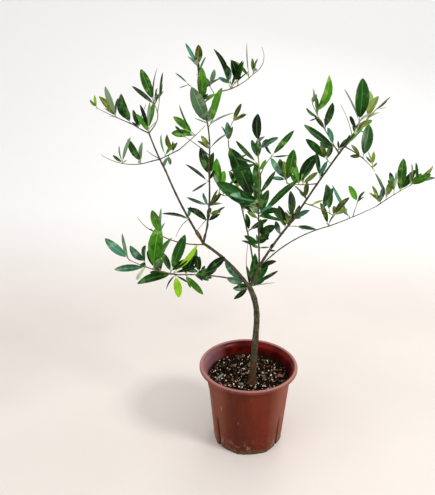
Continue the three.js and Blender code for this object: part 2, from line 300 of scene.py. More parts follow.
@dataclass(frozen=True)
class Spray:
    """A short leafy shoot that leaves a limb or a twig.

    Attributes:
        mass: The mass of foliage that it helps to fill.
        on: The limb or twig that it leaves.
        at: The share of that line's length where it leaves.
        reach: Millimetres along the shoot.
        lean: Degrees from upright towards the right, seen from the front.
        opening: Degrees between shoot and leaf at the first pair.
        leaf: Lengths of its first and last leaf, in millimetres.
        tints: The tint of each leaf in turn: crossed pairs, right leaf first, and then a tip leaf.
            A small letter stands for a slim leaf.
        seed: Where its random draws start.
    """

    mass: str
    on: str
    at: float
    reach: float
    lean: float
    opening: float
    leaf: Span
    tints: str
    seed: int

    def line(self, lines: dict[str, Line]) -> Line:
        """The shoot's middle line."""
        forward = math.radians(random.Random(self.seed).uniform(*HABIT.forward))
        lean = math.radians(self.lean)
        flat = math.cos(forward)
        ahead = np.array([math.sin(lean) * flat, -math.sin(forward), math.cos(lean) * flat])
        start = lines[self.on].point(self.at)
        return Line(np.array([start, start + ahead * self.reach]), np.array([ahead, ahead]))

    def leaves(self, line: Line) -> list[Leaf]:
        """Grows the leaves along the shoot.

        Args:
            line: The shoot's middle line.

        Returns:
            The leaves, from the shoot's base to its tip.
        """
        rng = random.Random(self.seed + LEAF_DRAWS)
        pairs = len(self.tints) // 2
        found = []
        for index, tint in enumerate(self.tints):
            pair, side = divmod(index, 2)
            length = lerp(*self.leaf, index / max(len(self.tints) - 1, 1))
            if pair < pairs:
                share = (pair + rng.uniform(0.7, 0.9)) / pairs
                opening = self.opening * lerp(1, 0.75, pair / pairs)
            else:
                share, opening = 1.0, 0.0
            turn = HABIT.pair_turn * pair + 180 * side
            found.append(self._leaf(rng, line, share, turn, opening, length, tint))
        for _ in range(rng.randint(*HABIT.young)):
            share, turn = rng.random(), rng.uniform(0, 360)
            opening = rng.uniform(*HABIT.young_opening)
            length = min(self.leaf) * rng.uniform(*HABIT.young_size)
            tint = rng.choice(self.tints)
            tint = YOUNG_TINT if tint in OLD_TINTS else tint
            found.append(self._leaf(rng, line, share, turn, opening, length, tint))
        return found

    def _leaf(self, rng: random.Random, line: Line, share: float, turn: float, opening: float,
              length: float, tint: str) -> Leaf:
        """Grows one leaf.

        Args:
            rng: The spray's random draws.
            line: The shoot's middle line.
            share: The share of the shoot's length where the leaf stands.
            turn: Degrees about the shoot, where 0 is to its right.
            opening: Degrees between leaf and shoot.
            length: Its usual length, in millimetres.
            tint: The letter of its colour.

        Returns:
            The leaf.
        """
        stem = line.direction(share)
        beside = unit(np.cross(-FRONT, stem))
        outwards = turned(beside, stem, turn + rng.gauss(0, HABIT.scatter))
        spread = math.radians(opening + rng.gauss(0, HABIT.scatter))
        along = unit(stem * math.cos(spread) + outwards * math.sin(spread))
        base = line.point(share)
        light = LIGHT_UP * UP + LIGHT_FRONT * FRONT + LIGHT_OUT * unit(base * np.array([1.0, 1.0, 0.0]))
        face = lerp(stem, light, rng.uniform(*HABIT.facing))
        face = unit(face - along * float(face @ along))
        slim = tint.islower()
        face = turned(face, along, rng.gauss(0, HABIT.tilt[slim]))
        length = length * rng.uniform(*HABIT.size)
        width = length * rng.uniform(*(HABIT.slim if slim else HABIT.broad))
        arch = rng.uniform(*HABIT.arch)
        twist = rng.gauss(0, HABIT.twist)
        return Leaf(base, along, face, length, width, arch, twist, Tint(tint.upper()))


# The bare twigs that carry leaves beyond the limbs.
TWIGS = (
    Limb("far_left_tip", "far_left_twig", 1, 58, (170, 170), (20, 25), (0.8, 0.45)),
    Limb("left_top_twig", "left_bough_top", 1, 57, (370, 215), (50, 60), (1.0, 0.55)),
    Limb("left_top_side", "left_top_twig", 0.7, 26, (320, 300), (70, 80), (0.6, 0.45)),
    Limb("low_side_tip", "low_side_twig", 1, 72, (170, 165), (-15, 30), (0.8, 0.35)),
    Limb("left_stub", "left_bough_top", 0.35, 23, (190, 210), (25, 45), (0.8, 0.5)),
    Limb("inner_left_tip", "inner_left_twig", 1, 53, (350, 345), (40, 45), (0.9, 0.55)),
    Limb("crossing_twig", "middle_bough_top", 0.15, 48, (175, 150), (45, 20), (0.8, 0.4)),
    Limb("leader_tip", "leader_twig", 1, 44, (250, 250), (85, 80), (0.8, 0.4)),
    Limb("leader_side", "top_right_twig", 0.7, 14, (230, 215), (50, 55), (0.6, 0.45)),
    Limb("hooked_twig", "middle_bough_top", 0.95, 34, (225, 215), (65, 35), (0.7, 0.45)),
    Limb("top_right_middle", "top_right_twig", 1, 50, (20, 10), (5, 45), (0.85, 0.55)),
    Limb("top_right_tip", "top_right_middle", 1, 39, (30, -45), (20, 125), (0.6, 0.3)),
    Limb("back_tip", "back_bough", 1, 31, (95, 30), (80, 65), (0.8, 0.5)),
    Limb("centre_tip", "centre_bough", 1, 89, (275, 235), (80, 80), (1.0, 0.55)),
    Limb("centre_side", "centre_tip", 0.5, 33, (315, 335), (75, 50), (0.8, 0.5)),
    Limb("thin_stem", "centre_stem", 0.3, 70, (165, 355), (60, 90), (0.7, 0.4)),
    Limb("middle_side", "middle_bough_low", 0.5, 37, (355, 275), (50, 55), (0.9, 0.55)),
    Limb("middle_link", "middle_side", 0.8, 25, (345, 350), (-55, 80), (0.7, 0.4)),
    Limb("left_drop_twig", "left_bough_middle", 0.35, 33, (195, 215), (-30, -70), (0.6, 0.35)),
    Limb("middle_drop_twig", "middle_bough_low", 0.35, 27, (200, 215), (-40, -50), (0.6, 0.35)),
    Limb("left_side_tip", "left_side_twig", 0.9, 33, (170, 170), (20, 60), (0.7, 0.35)),
    Limb("low_left_tip", "low_left_twig", 1, 63, (195, 185), (15, 30), (0.9, 0.5)),
    Limb("right_side_twig", "right_bough_middle", 0.55, 46, (195, 200), (-5, 15), (0.95, 0.55)),
    Limb("right_knot_twig", "right_bough_middle", 0.85, 11, (185, 240), (25, 55), (0.6, 0.5)),
    Limb("yellow_twig", "right_bough_middle", 0.25, 45, (340, 335), (-10, -25), (0.8, 0.5)),
    Limb("right_high_twig", "right_bough_middle", 1, 73, (175, 145), (55, 60), (1.0, 0.5)),
    Limb("pale_twig", "right_bough_top", 0.6, 43, (145, 160), (75, 55), (0.55, 0.3)),
    Limb("right_drop_twig", "right_bough_top", 0.25, 51, (335, 345), (-20, -50), (0.9, 0.5)),
    Limb("right_tip_twig", "right_bough_top", 1, 20, (15, 20), (40, 50), (0.8, 0.5)),
    Limb("shoot_side", "right_shoot_top", 0.5, 28, (300, 315), (75, 75), (0.8, 0.5)),
    Limb("shoot_tip", "right_shoot_top", 1, 73, (10, 10), (35, 25), (0.9, 0.5)),
    Limb("low_right_thin", "right_bough_low", 0.85, 39, (15, 10), (-5, -5), (0.6, 0.35)),
)

FIRST_SEED = 302
# The sprays of each mass: on, at, reach, lean, opening, first and last leaf, tints.
SPRAYS_OF = {
    "left_tip": (
        ("far_left_tip", 0.45, 3, -10, 12, (30, 48), "DOp"),
        ("far_left_tip", 0.05, 2, -30, 0, (48, 48), "D"),
        ("far_left_tip", 1, 2, -20, 15, (18, 14), "LO"),
    ),
    "left_top": (
        ("far_left_twig", 0.65, 2, 5, 15, (36, 25), "OD"),
        ("left_bough_top", 1, 8, 0, 12, (40, 36), "Bdp"),
        ("left_top_twig", 0.9, 2, -15, 30, (26, 42), "Ud"),
        ("left_top_twig", 1, 3, -6, 8, (46, 44), "dB"),
        ("left_top_side", 0.7, 2, 10, 8, (21, 38), "Ud"),
    ),
    "left_side": (
        ("low_side_tip", 0.1, 4, -5, 15, (30, 38), "PD"),
        ("low_side_tip", 0.5, 4, 0, 8, (44, 26), "pO"),
    ),
    "left_inner": (
        ("inner_left_twig", 0.3, 3, -10, 0, (32, 32), "B"),
        ("inner_left_twig", 0.7, 2, -10, 0, (26, 26), "O"),
        ("inner_left_twig", 0.5, 3, -155, 0, (20, 20), "P"),
        ("inner_left_tip", 0.6, 6, -45, 6, (40, 36), "dB"),
        ("crossing_twig", 0.9, 2, -45, 0, (16, 16), "D"),
    ),
    "leader": (
        ("leader_tip", 0.55, 3, -15, 15, (24, 28), "Ou"),
        ("leader_tip", 0.3, 6, 10, 6, (20, 12), "UB"),
        ("leader_twig", 0.6, 2, -10, 0, (48, 48), "u"),
        ("middle_bough_top", 1, 2, 10, 8, (22, 38), "DB"),
        ("leader_side", 1, 2, 15, 0, (20, 20), "P"),
    ),
    "middle_left": (
        ("middle_bough_top", 0.65, 3, -25, 0, (50, 50), "P"),
        ("hooked_twig", 1, 2, -40, 0, (21, 21), "d"),
        ("middle_bough_top", 0.25, 2, 5, 30, (38, 22), "OO"),
    ),
    "top_right": (
        ("top_right_middle", 0.3, 4, -20, 0, (48, 48), "d"),
        ("top_right_middle", 0.35, 9, -20, 0, (24, 24), "U"),
        ("top_right_middle", 0.5, 6, 0, 12, (32, 30), "BD"),
        ("top_right_middle", 0.85, 5, -10, 0, (38, 38), "o"),
        ("top_right_middle", 1, 3, 0, 10, (20, 20), "OD"),
    ),
    "middle_right": (
        ("middle_bough_top", 0.6, 11, 30, 20, (42, 52), "db"),
        ("middle_bough_top", 0.7, 10, 25, 0, (20, 20), "U"),
    ),
    "back_top": (
        ("back_tip", 1, 4, 25, 0, (30, 30), "O"),
        ("back_tip", 0.15, 2, -5, 20, (20, 30), "ODU"),
    ),
    "back_low": (
        ("back_bough", 0.7, 4, -10, 12, (32, 30), "DD"),
        ("back_bough", 0.85, 3, 25, 30, (28, 24), "OB"),
    ),
    "centre_top": (
        ("centre_tip", 1, 4, 0, 0, (35, 35), "D"),
        ("centre_tip", 0.95, 5, 65, 0, (22, 22), "U"),
        ("centre_tip", 0.75, 6, -10, 12, (24, 22), "UD"),
        ("centre_tip", 0.7, 5, -40, 0, (38, 38), "d"),
        ("centre_side", 1, 3, 30, 0, (38, 38), "b"),
        ("centre_tip", 0.6, 3, -5, 35, (18, 14), "BD"),
    ),
    "middle_low_right": (
        ("middle_bough_low", 0.85, 4, -8, 0, (36, 36), "D"),
        ("middle_bough_low", 0.8, 12, 5, 0, (30, 30), "D"),
        ("middle_side", 0.95, 2, -10, 0, (42, 42), "B"),
        ("middle_link", 0.25, 5, 25, 0, (42, 42), "b"),
        ("middle_bough_low", 0.8, 3, -55, 0, (38, 38), "d"),
        ("middle_link", 0.95, 2, 40, 0, (16, 16), "O"),
    ),
    "middle_low_left": (
        ("middle_bough_low", 0.5, 4, -40, 18, (22, 38), "Uu"),
        ("middle_bough_low", 0.5, 2, 35, 12, (23, 25), "DO"),
        ("middle_bough_low", 0.3, 2, 0, 45, (35, 38), "DD"),
        ("middle_bough_low", 0.4, 2, 70, 0, (18, 18), "O"),
        ("left_bough_middle", 0.35, 4, -20, 40, (20, 38), "Ud"),
        ("middle_bough_low", 0, 2, 5, 0, (28, 28), "u"),
    ),
    "centre": (
        ("centre_bough", 1, 16, -25, 0, (70, 70), "D"),
        ("centre_tip", 0.25, 2, 15, 15, (34, 39), "dD"),
        ("centre_tip", 0.15, 3, -55, 15, (28, 38), "DU"),
        ("centre_bough", 0.9, 4, 50, 0, (62, 62), "d"),
        ("centre_bough", 0.95, 4, 50, 20, (26, 34), "DD"),
        ("centre_bough", 0.85, 8, -40, 10, (28, 38), "Od"),
        ("centre_bough", 0.95, 2, 0, 55, (21, 20), "UP"),
    ),
    "centre_low": (
        ("centre_bough", 0.55, 3, 20, 20, (30, 28), "DD"),
        ("centre_bough", 0.35, 6, -5, 40, (28, 28), "DD"),
        ("centre_bough", 0.3, 5, 15, 70, (14, 30), "Od"),
    ),
    "centre_back": (
        ("back_bough", 0.35, 8, 15, 25, (32, 30), "DD"),
        ("back_bough", 0.5, 8, 10, 30, (30, 28), "DDO"),
    ),
    "fork": (
        ("left_bough_low", 0, 4, 10, 0, (48, 48), "D"),
        ("left_bough_low", 0, 3, 62, 24, (40, 44), "dDd"),
        ("centre_stem", 0.9, 2, 45, 0, (30, 30), "D"),
        ("left_bough_low", 0, 2, -105, 14, (24, 26), "DD"),
        ("left_bough_low", 0.1, 2, -45, 0, (38, 38), "U"),
    ),
    "centre_right": (
        ("right_side_twig", 1, 3, -5, 8, (40, 26), "BO"),
        ("right_side_twig", 0.95, 8, -35, 10, (28, 36), "DU"),
        ("right_side_twig", 0.6, 3, 5, 20, (45, 36), "DB"),
        ("right_side_twig", 0.5, 2, 50, 0, (25, 25), "O"),
        ("right_knot_twig", 0.6, 3, -45, 0, (36, 36), "D"),
        ("right_bough_middle", 0.6, 8, -5, 10, (24, 34), "UD"),
        ("right_knot_twig", 1, 2, -25, 0, (20, 20), "O"),
        ("right_bough_middle", 0.3, 5, -20, 20, (20, 24), "OD"),
        ("right_bough_low", 0.95, 8, -10, 6, (36, 14), "DO"),
        ("right_bough_low", 0.8, 4, -20, 0, (42, 42), "D"),
        ("right_bough_low", 0.65, 2, -20, 0, (22, 22), "U"),
        ("low_right_thin", 0.05, 2, -5, 15, (22, 20), "OO"),
        ("right_bough_low", 1, 2, 30, 10, (24, 22), "UD"),
        ("low_right_thin", 0.3, 2, 95, 0, (26, 26), "u"),
        ("right_bough_low", 0.3, 8, 15, 0, (14, 14), "D"),
    ),
    "right_high": (
        ("right_high_twig", 0.8, 2, 15, 0, (46, 46), "B"),
        ("right_high_twig", 0.7, 3, -45, 0, (22, 22), "d"),
        ("right_high_twig", 1, 2, 5, 0, (20, 20), "P"),
        ("right_high_twig", 0.5, 2, 5, 0, (34, 34), "D"),
        ("right_high_twig", 0.1, 2, -55, 0, (54, 54), "d"),
        ("right_high_twig", 0.05, 3, 25, 0, (16, 16), "D"),
        ("right_high_twig", 0.1, 8, -35, 0, (26, 26), "U"),
    ),
    "right_top": (
        ("right_bough_top", 0.95, 9, -15, 12, (52, 44), "DD"),
        ("right_bough_top", 0.8, 2, -5, 0, (18, 18), "P"),
        ("right_bough_top", 0.65, 10, 15, 35, (23, 18), "OD"),
        ("right_bough_top", 0.15, 3, 40, 15, (42, 18), "bD"),
    ),
    "right_tip": (
        ("right_tip_twig", 0.4, 6, 15, 10, (30, 31), "OO"),
        ("right_tip_twig", 1, 8, 30, 0, (24, 24), "d"),
    ),
    "right_drop": (
        ("right_drop_twig", 0.55, 2, 15, 0, (42, 42), "D"),
        ("right_drop_twig", 0.5, 2, -45, 0, (18, 18), "O"),
        ("right_drop_twig", 0.9, 6, -10, 8, (18, 20), "Op"),
    ),
    "right_low": (
        ("yellow_twig", 0.6, 6, 0, 0, (36, 36), "D"),
        ("yellow_twig", 0.85, 5, -10, 0, (36, 36), "D"),
        ("yellow_twig", 0.95, 2, 50, 0, (30, 30), "O"),
        ("right_shoot_top", 0.45, 4, -35, 0, (56, 56), "u"),
        ("right_shoot_low", 1, 4, -15, 0, (34, 34), "B"),
        ("yellow_twig", 0.2, 2, 60, 0, (16, 16), "L"),
    ),
    "shoot_inner": (
        ("shoot_side", 0.9, 5, -5, 22, (21, 34), "OB"),
    ),
    "shoot_outer": (
        ("shoot_tip", 0.1, 3, -10, 12, (32, 38), "UO"),
        ("shoot_tip", 0.25, 6, 0, 12, (28, 40), "Od"),
        ("shoot_tip", 0.45, 8, 0, 10, (28, 30), "pD"),
        ("shoot_tip", 0.6, 3, 15, 18, (38, 48), "DB"),
        ("shoot_tip", 0.85, 2, 20, 25, (34, 40), "BO"),
        ("shoot_tip", 1, 2, 40, 40, (28, 32), "UDO"),
    ),
    "left_low": (
        ("left_side_twig", 0.8, 4, 0, 6, (41, 41), "pB"),
    ),
    "left_low_drop": (
        ("low_left_tip", 0.5, 2, 4, 0, (54, 54), "B"),
        ("low_left_tip", 0.65, 14, -5, 18, (27, 28), "DU"),
    ),
    "low_left_outer": (
        ("low_left_tip", 1, 3, -35, 22, (32, 36), "pU"),
        ("low_left_tip", 0.65, 2, -85, 0, (36, 36), "U"),
        ("low_left_tip", 0.35, 2, -20, 6, (22, 28), "DD"),
        ("low_left_tip", 0.1, 2, -100, 0, (44, 44), "D"),
    ),
    "low_left_inner": (
        ("low_left_tip", 0.15, 5, 15, 0, (46, 46), "D"),
        ("low_left_tip", 0.1, 4, 45, 0, (44, 44), "l"),
        ("low_left_tip", 0.05, 2, 170, 0, (26, 26), "L"),
        ("low_left_twig", 0.9, 2, 135, 0, (32, 32), "B"),
        ("low_left_twig", 0.9, 2, 25, 0, (32, 32), "D"),
        ("low_left_twig", 0.7, 6, 60, 0, (32, 32), "D"),
        ("low_left_twig", 0.8, 2, 75, 0, (32, 32), "D"),
        ("low_left_twig", 0.7, 6, -20, 0, (26, 26), "D"),
        ("left_bough_middle", 0, 2, -20, 0, (20, 20), "N"),
    ),
}


def sprays() -> list[Spray]:
    """Every leafy spray, each with a seed of its own."""
    rows = [(mass, *row) for mass, of_mass in SPRAYS_OF.items() for row in of_mass]
    return [Spray(*row, seed) for seed, row in enumerate(rows, FIRST_SEED)]


# ---- Meshes ----

GROWTH = "growth"


@dataclass
class Parts:
    """Small shapes of one kind, gathered as arrays and joined into one mesh.

    Attributes:
        points: The points of each shape, in metres.
        faces: Every face, as places in the joined list of points.
        slots: The material slot of each face.
        marks: The growth marks of each shape's points: across, along and shade.
        count: How many points there are so far.
    """

    points: list[Array] = field(default_factory=list)
    faces: Faces = field(default_factory=list)
    slots: list[int] = field(default_factory=list)
    marks: list[Array] = field(default_factory=list)
    count: int = 0

    def add(self, points: Array, faces: Faces, slots: list[int] | None = None,
            marks: Array | None = None) -> None:
        """Adds one closed shape.

        Args:
            points: Its points, in metres.
            faces: Its faces, as places in its own points, turned outwards.
            slots: The material slot of each of its faces, where not all have the first.
            marks: The growth marks of each point, where it has any: across, along and shade.
        """
        self.points.append(points)
        self.marks.append(np.zeros((len(points), 3)) if marks is None else marks)
        self.faces.extend(tuple(corner + self.count for corner in face) for face in faces)
        self.slots.extend([0] * len(faces) if slots is None else slots)
        self.count += len(points)

    def build(self, name: str, materials: list[Material], crease: float) -> Piece:
        """Joins the shapes into one object at the origin.

        Args:
            name: The object's name.
            materials: Its material slots. Those that no face has are left out.
            crease: The angle between two faces, in degrees, from which their edge is sharp.

        Returns:
            The object.
        """
        used = sorted(set(self.slots))
        mesh = bpy.data.meshes.new(name)
        mesh.from_pydata(np.concatenate(self.points), [], self.faces)
        for slot in used:
            mesh.materials.append(materials[slot])
        places = {slot: place for place, slot in enumerate(used)}
        mesh.polygons.foreach_set("material_index", [places[slot] for slot in self.slots])
        mark_growth(mesh, np.concatenate(self.marks))
        mesh.shade_smooth()
        mesh.set_sharp_from_angle(angle=math.radians(crease))
        mesh.update()
        piece = bpy.data.objects.new(name, mesh)
        bpy.context.scene.collection.objects.link(piece)
        return piece


def mark_growth(mesh: bpy.types.Mesh, marks: Array) -> None:
    """Gives each point of a mesh its growth marks."""
    attribute = mesh.attributes.new(GROWTH, "FLOAT_VECTOR", "POINT")
    attribute.data.foreach_set("vector", marks.astype(np.float32).ravel())


def tube(points: Array, radii: Array, sides: int) -> tuple[Array, Faces]:
    """A closed round tube along a line, pointed at both ends.

    Args:
        points: The line's points.
        radii: The tube's radius at each of them.
        sides: How many sides it has.

    Returns:
        Its points and its faces, turned outwards.
    """
    steps = np.gradient(points, axis=0)
    beside = unit(np.cross(steps[0], UP) + 1e-6 * FRONT)
    rings = []
    turns = np.arange(sides) * 2 * math.pi / sides
    for point, step, radius in zip(points, steps, radii):
        stem = unit(step)
        beside = unit(beside - stem * float(beside @ stem))
        other = np.cross(stem, beside)
        circle = np.outer(np.cos(turns), beside) + np.outer(np.sin(turns), other)
        rings.append(point + radius * circle)
    ends = [points[0] - unit(steps[0]) * radii[0] * 0.5, points[-1] + unit(steps[-1]) * radii[-1]]
    shape = np.concatenate([*rings, ends])
    first, last = len(shape) - 2, len(shape) - 1
    faces = []
    for ring in range(len(points) - 1):
        for side in range(sides):
            low, after = ring * sides + side, ring * sides + (side + 1) % sides
            faces.append((low, after, after + sides, low + sides))
    top = (len(points) - 1) * sides
    for side in range(sides):
        after = (side + 1) % sides
        faces.append((first, after, side))
        faces.append((last, top + side, top + after))
    return shape, faces


def select_alone(piece: Piece) -> None:
    """Selects a piece, and nothing else, as the active one."""
    bpy.ops.object.select_all(action="DESELECT")
    piece.select_set(True)
    bpy.context.view_layer.objects.active = piece


def opened(name: str, scale: list[float] | None = None) -> Piece:
    """Names the shape just added, bakes its place and size in, and opens it with all of it selected.

    Args:
        name: Its name.
        scale: Its size along each axis, where it still has to be sized.

    Returns:
        The shape, in edit mode.
    """
    piece = bpy.context.object
    piece.name = piece.data.name = name
    if scale:
        piece.scale = scale
    bpy.ops.object.transform_apply(location=True, rotation=True, scale=True)
    select_alone(piece)
    bpy.ops.object.mode_set(mode="EDIT")
    bpy.ops.mesh.select_all(action="SELECT")
    return piece


def close_outwards() -> None:
    """Turns all faces of the open shape outwards, and leaves edit mode."""
    bpy.ops.mesh.select_all(action="SELECT")
    bpy.ops.mesh.normals_make_consistent(inside=False)
    bpy.ops.object.mode_set(mode="OBJECT")


def widen(size: float) -> None:
    """Scales what is selected, away from the upright axis or towards it."""
    bpy.ops.transform.resize(value=(size, size, 1), center_override=(0, 0, 0))


def apply_modifier(piece: Piece, kind: str, **settings: object) -> None:
    """Adds a modifier with these settings and applies it."""
    modifier = piece.modifiers.new(kind.title(), kind)
    for name, value in settings.items():
        setattr(modifier, name, value)
    with bpy.context.temp_override(object=piece, active_object=piece):
        bpy.ops.object.modifier_apply(modifier=modifier.name)


def coordinates(piece: Piece) -> Array:
    """The piece's points, in metres."""
    flat = np.empty(len(piece.data.vertices) * 3, np.float32)
    piece.data.vertices.foreach_get("co", flat)
    return flat.reshape(-1, 3).astype(float)


def set_coordinates(piece: Piece, points: Array) -> None:
    """Moves the piece's points, in metres."""
    piece.data.vertices.foreach_set("co", points.astype(np.float32).ravel())
    piece.data.update()


def finish_piece(piece: Piece, slot: str, *nodes: str) -> Piece:
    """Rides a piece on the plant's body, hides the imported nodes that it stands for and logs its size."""
    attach(piece, BODY)
    if nodes:
        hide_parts(*nodes)
    triangles = sum(len(face.vertices) - 2 for face in piece.data.polygons)
    log.info("%s: %d triangles, stands for %d nodes", piece.name, triangles, len(nodes))
    return piece


# ---- Finishes ----


def colour(shade: object) -> object:
    """A linear colour from a screen colour such as 35582f; anything else stays as it is."""
    if not isinstance(shade, str):
        return shade
    parts = [int(shade[place:place + 2], 16) / 255 for place in (0, 2, 4)]
    linear = [part / 12.92 if part <= 0.04045 else ((part + 0.055) / 1.055) ** 2.4 for part in parts]
    return (*linear, 1.0)


class Shader:
    """A material built node by node around one Principled shader, on Object coordinates.

    Attributes:
        material: The material.
        surface: Its Principled shader.
        place: The Object coordinates.
        roughness: Its usual roughness.
        base: Its colour so far.
    """

    def __init__(self, name: str, roughness: float, **constants: float) -> None:
        """Starts a material.

        Args:
            name: The material's name.
            roughness: Its usual roughness.
            **constants: Values for the shader's own sockets, with _ for a space in their names.
        """
        self.material = bpy.data.materials.new(name)
        self.material.use_nodes = True
        self.tree = self.material.node_tree
        self.surface = next(node for node in self.tree.nodes if node.type == "BSDF_PRINCIPLED")
        self.roughness = roughness
        self.base: Socket | None = None
        own = {socket.replace("_", " "): value for socket, value in constants.items()}
        self._feed(self.surface, {"Roughness": roughness, **own})
        self.place = self._node("ShaderNodeTexCoord", {}).outputs["Object"]

    def _feed(self, node: bpy.types.Node, values: dict[str | int, object]) -> bpy.types.Node:
        """Links sockets into a node's inputs, or sets plain values there, and gives the node."""
        for name, value in values.items():
            if isinstance(value, Socket):
                self.tree.links.new(value, node.inputs[name])
            else:
                node.inputs[name].default_value = value
        return node

    def _node(self, kind: str, values: dict[str | int, object]) -> bpy.types.Node:
        """Adds a node with these inputs."""
        return self._feed(self.tree.nodes.new(kind), values)

    def stretched(self, scale: Triple, turn: Triple = (0, 0, 0)) -> Socket:
        """Object coordinates stretched by a scale along each axis, after a turn in degrees."""
        angles = [math.radians(angle) for angle in turn]
        inputs = {"Scale": scale, "Rotation": angles, "Vector": self.place}
        return self._node("ShaderNodeMapping", inputs).outputs["Vector"]

    def noise(self, scale: float, detail: float = 3, rough: float = 0.5,
              vector: Socket | None = None) -> Socket:
        """A noise pattern's value, from 0 to 1, with scale in features per metre."""
        inputs = {"Scale": scale, "Detail": detail, "Roughness": rough, "Vector": vector or self.place}
        return self._node("ShaderNodeTexNoise", inputs).outputs["Fac"]

    def cells(self, scale: float, vector: Socket | None = None) -> Socket:
        """The distance to the nearest of scattered points, in a cell's own size."""
        inputs = {"Scale": scale, "Vector": vector or self.place}
        return self._node("ShaderNodeTexVoronoi", inputs).outputs["Distance"]

    def ramp(self, value: Socket, *stops: tuple[float, object]) -> Socket:
        """The colour of a value along stops of (place, screen colour or grey level)."""
        node = self.tree.nodes.new("ShaderNodeValToRGB")
        elements = node.color_ramp.elements
        while len(elements) < len(stops):
            elements.new(1.0)
        for element, (place, shade) in zip(elements, stops):
            element.position = place
            element.color = colour(shade) if isinstance(shade, str) else (shade, shade, shade, 1.0)
        return self._feed(node, {"Fac": value}).outputs["Color"]

    def mix(self, share: object, first: object, second: object) -> Socket:
        """A colour between two others, by a share."""
        node = self.tree.nodes.new("ShaderNodeMix")
        node.data_type = "RGBA"
        return self._feed(node, {0: share, 6: colour(first), 7: colour(second)}).outputs[2]

    def maths(self, operation: str, first: object, second: object = 0.0) -> Socket:
        """The result of one operation on two values."""
        node = self.tree.nodes.new("ShaderNodeMath")
        node.operation = operation
        return self._feed(node, {0: first, 1: second}).outputs[0]

    def plus(self, first: object, second: object) -> Socket:
        """The sum of two values."""
        return self.maths("ADD", first, second)

    def times(self, first: object, second: object) -> Socket:
        """The product of two values."""
        return self.maths("MULTIPLY", first, second)

    def fade(self, value: Socket, low: float, high: float) -> Socket:
        """A share that goes smoothly from 0 at low to 1 at high."""
        node = self.tree.nodes.new("ShaderNodeMapRange")
        node.interpolation_type = "SMOOTHSTEP"
        return self._feed(node, {"From Min": low, "From Max": high, "Value": value}).outputs["Result"]

    def axis(self, name: str, vector: Socket | None = None) -> Socket:
        """One of the object coordinates, or of another vector's: X, Y or Z."""
        return self._node("ShaderNodeSeparateXYZ", {"Vector": vector or self.place}).outputs[name]

    def growth(self) -> Socket:
        """The growth marks of the surface: across, along and shade."""
        node = self.tree.nodes.new("ShaderNodeAttribute")
        node.attribute_name = GROWTH
        return node.outputs["Vector"]

    def lay(self, tint: str, share: Socket, amount: object) -> None:
        """Lays a tint over the colour so far, by a share times an amount."""
        self.base = self.mix(self.times(share, amount), self.base, tint)

    def matt(self, pattern: Socket, less: float, more: float) -> None:
        """Makes the surface that much glossier where a pattern is low, and more matt where it is high."""
        glossy, dull = self.roughness - less, min(self.roughness + more, 1.0)
        self.roughen(self.ramp(pattern, (0.3, glossy), (0.7, dull)))

    def roughen(self, rough: Socket) -> None:
        """Takes the surface's roughness from a value."""
        self._feed(self.surface, {"Roughness": rough})

    def bump(self, height: Socket, strength: float, distance: float) -> None:
        """Roughens the surface by a height pattern, with distance in metres."""
        inputs = {"Strength": strength, "Distance": distance, "Height": height}
        self._feed(self.surface, {"Normal": self._node("ShaderNodeBump", inputs).outputs["Normal"]})

    def done(self) -> Material:
        """Links the colour, and gives the material."""
        self._feed(self.surface, {"Base Color": self.base})
        return self.material


@dataclass(frozen=True)
class LeafFinish:
    """One side of an olive leaf.

    Attributes:
        name: The finish's name.
        deep: The colour of its darkest leaves, and of its painted shade patches.
        light: The colour of its lightest leaves.
        rib_and_highlight: The colour of the midrib, veins and edge, and of its painted highlight patches.
        roughness: How matt the skin is.
        coat: How much wax lies on it.
        tip: The colour of a tip that has begun to dry.
    """

    name: str
    deep: str
    light: str
    rib_and_highlight: str
    roughness: float
    coat: float
    tip: str = "8a7a44"

    def build(self) -> Material:
        """Blends each leaf's own shade with mottling, painted highlight and shade patches, a paler midrib,
        faint veins and a thin edge.
        """
        paint = Shader(self.name, self.roughness, Coat_Weight=self.coat, Coat_Roughness=0.22,
                       Specular_IOR_Level=0.1)
        marks = paint.growth()
        across = paint.maths("ABSOLUTE", paint.axis("X", marks))
        along = paint.axis("Y", marks)
        mottle = paint.noise(190, 4, 0.6)
        shade = paint.plus(paint.axis("Z", marks), paint.times(mottle, 0.5))
        paint.base = paint.mix(paint.fade(shade, 0.15, 1.25), self.deep, self.light)
        # Painted highlights: lighter patches in the midrib's colour that stand in for the sheen on the wax.
        paint.lay(self.rib_and_highlight, paint.fade(paint.noise(75, 3, 0.5), 0.52, 0.66), 0.5)
        # Painted shade: darker patches in the deep colour.
        painted_shade_patches = paint.noise(60, 3, 0.5, paint.stretched((1, 1, 1), (5, 3, 1)))
        paint.lay(self.deep, paint.fade(painted_shade_patches, 0.5, 0.36), 0.6)
        slanted = paint.plus(paint.times(across, -2.6), paint.times(along, 14))
        wave = paint.maths("ABSOLUTE", paint.maths("SINE", paint.times(slanted, math.pi)))
        vein = paint.fade(wave, 0.16, 0.0)
        paint.lay(self.rib_and_highlight, vein, 0.16)
        paint.lay(self.rib_and_highlight, paint.fade(across, 0.95, 1.0), 0.35)
        paint.lay(self.rib_and_highlight, paint.fade(across, 0.1, 0.03), 0.4)
        paint.lay(self.tip, paint.fade(along, 0.95, 1.0), 0.5)
        paint.matt(mottle, 0.08, 0.1)
        paint.bump(paint.plus(paint.noise(2600, 2), paint.times(vein, -0.7)), 0.25, 0.0003)
        return paint.done()
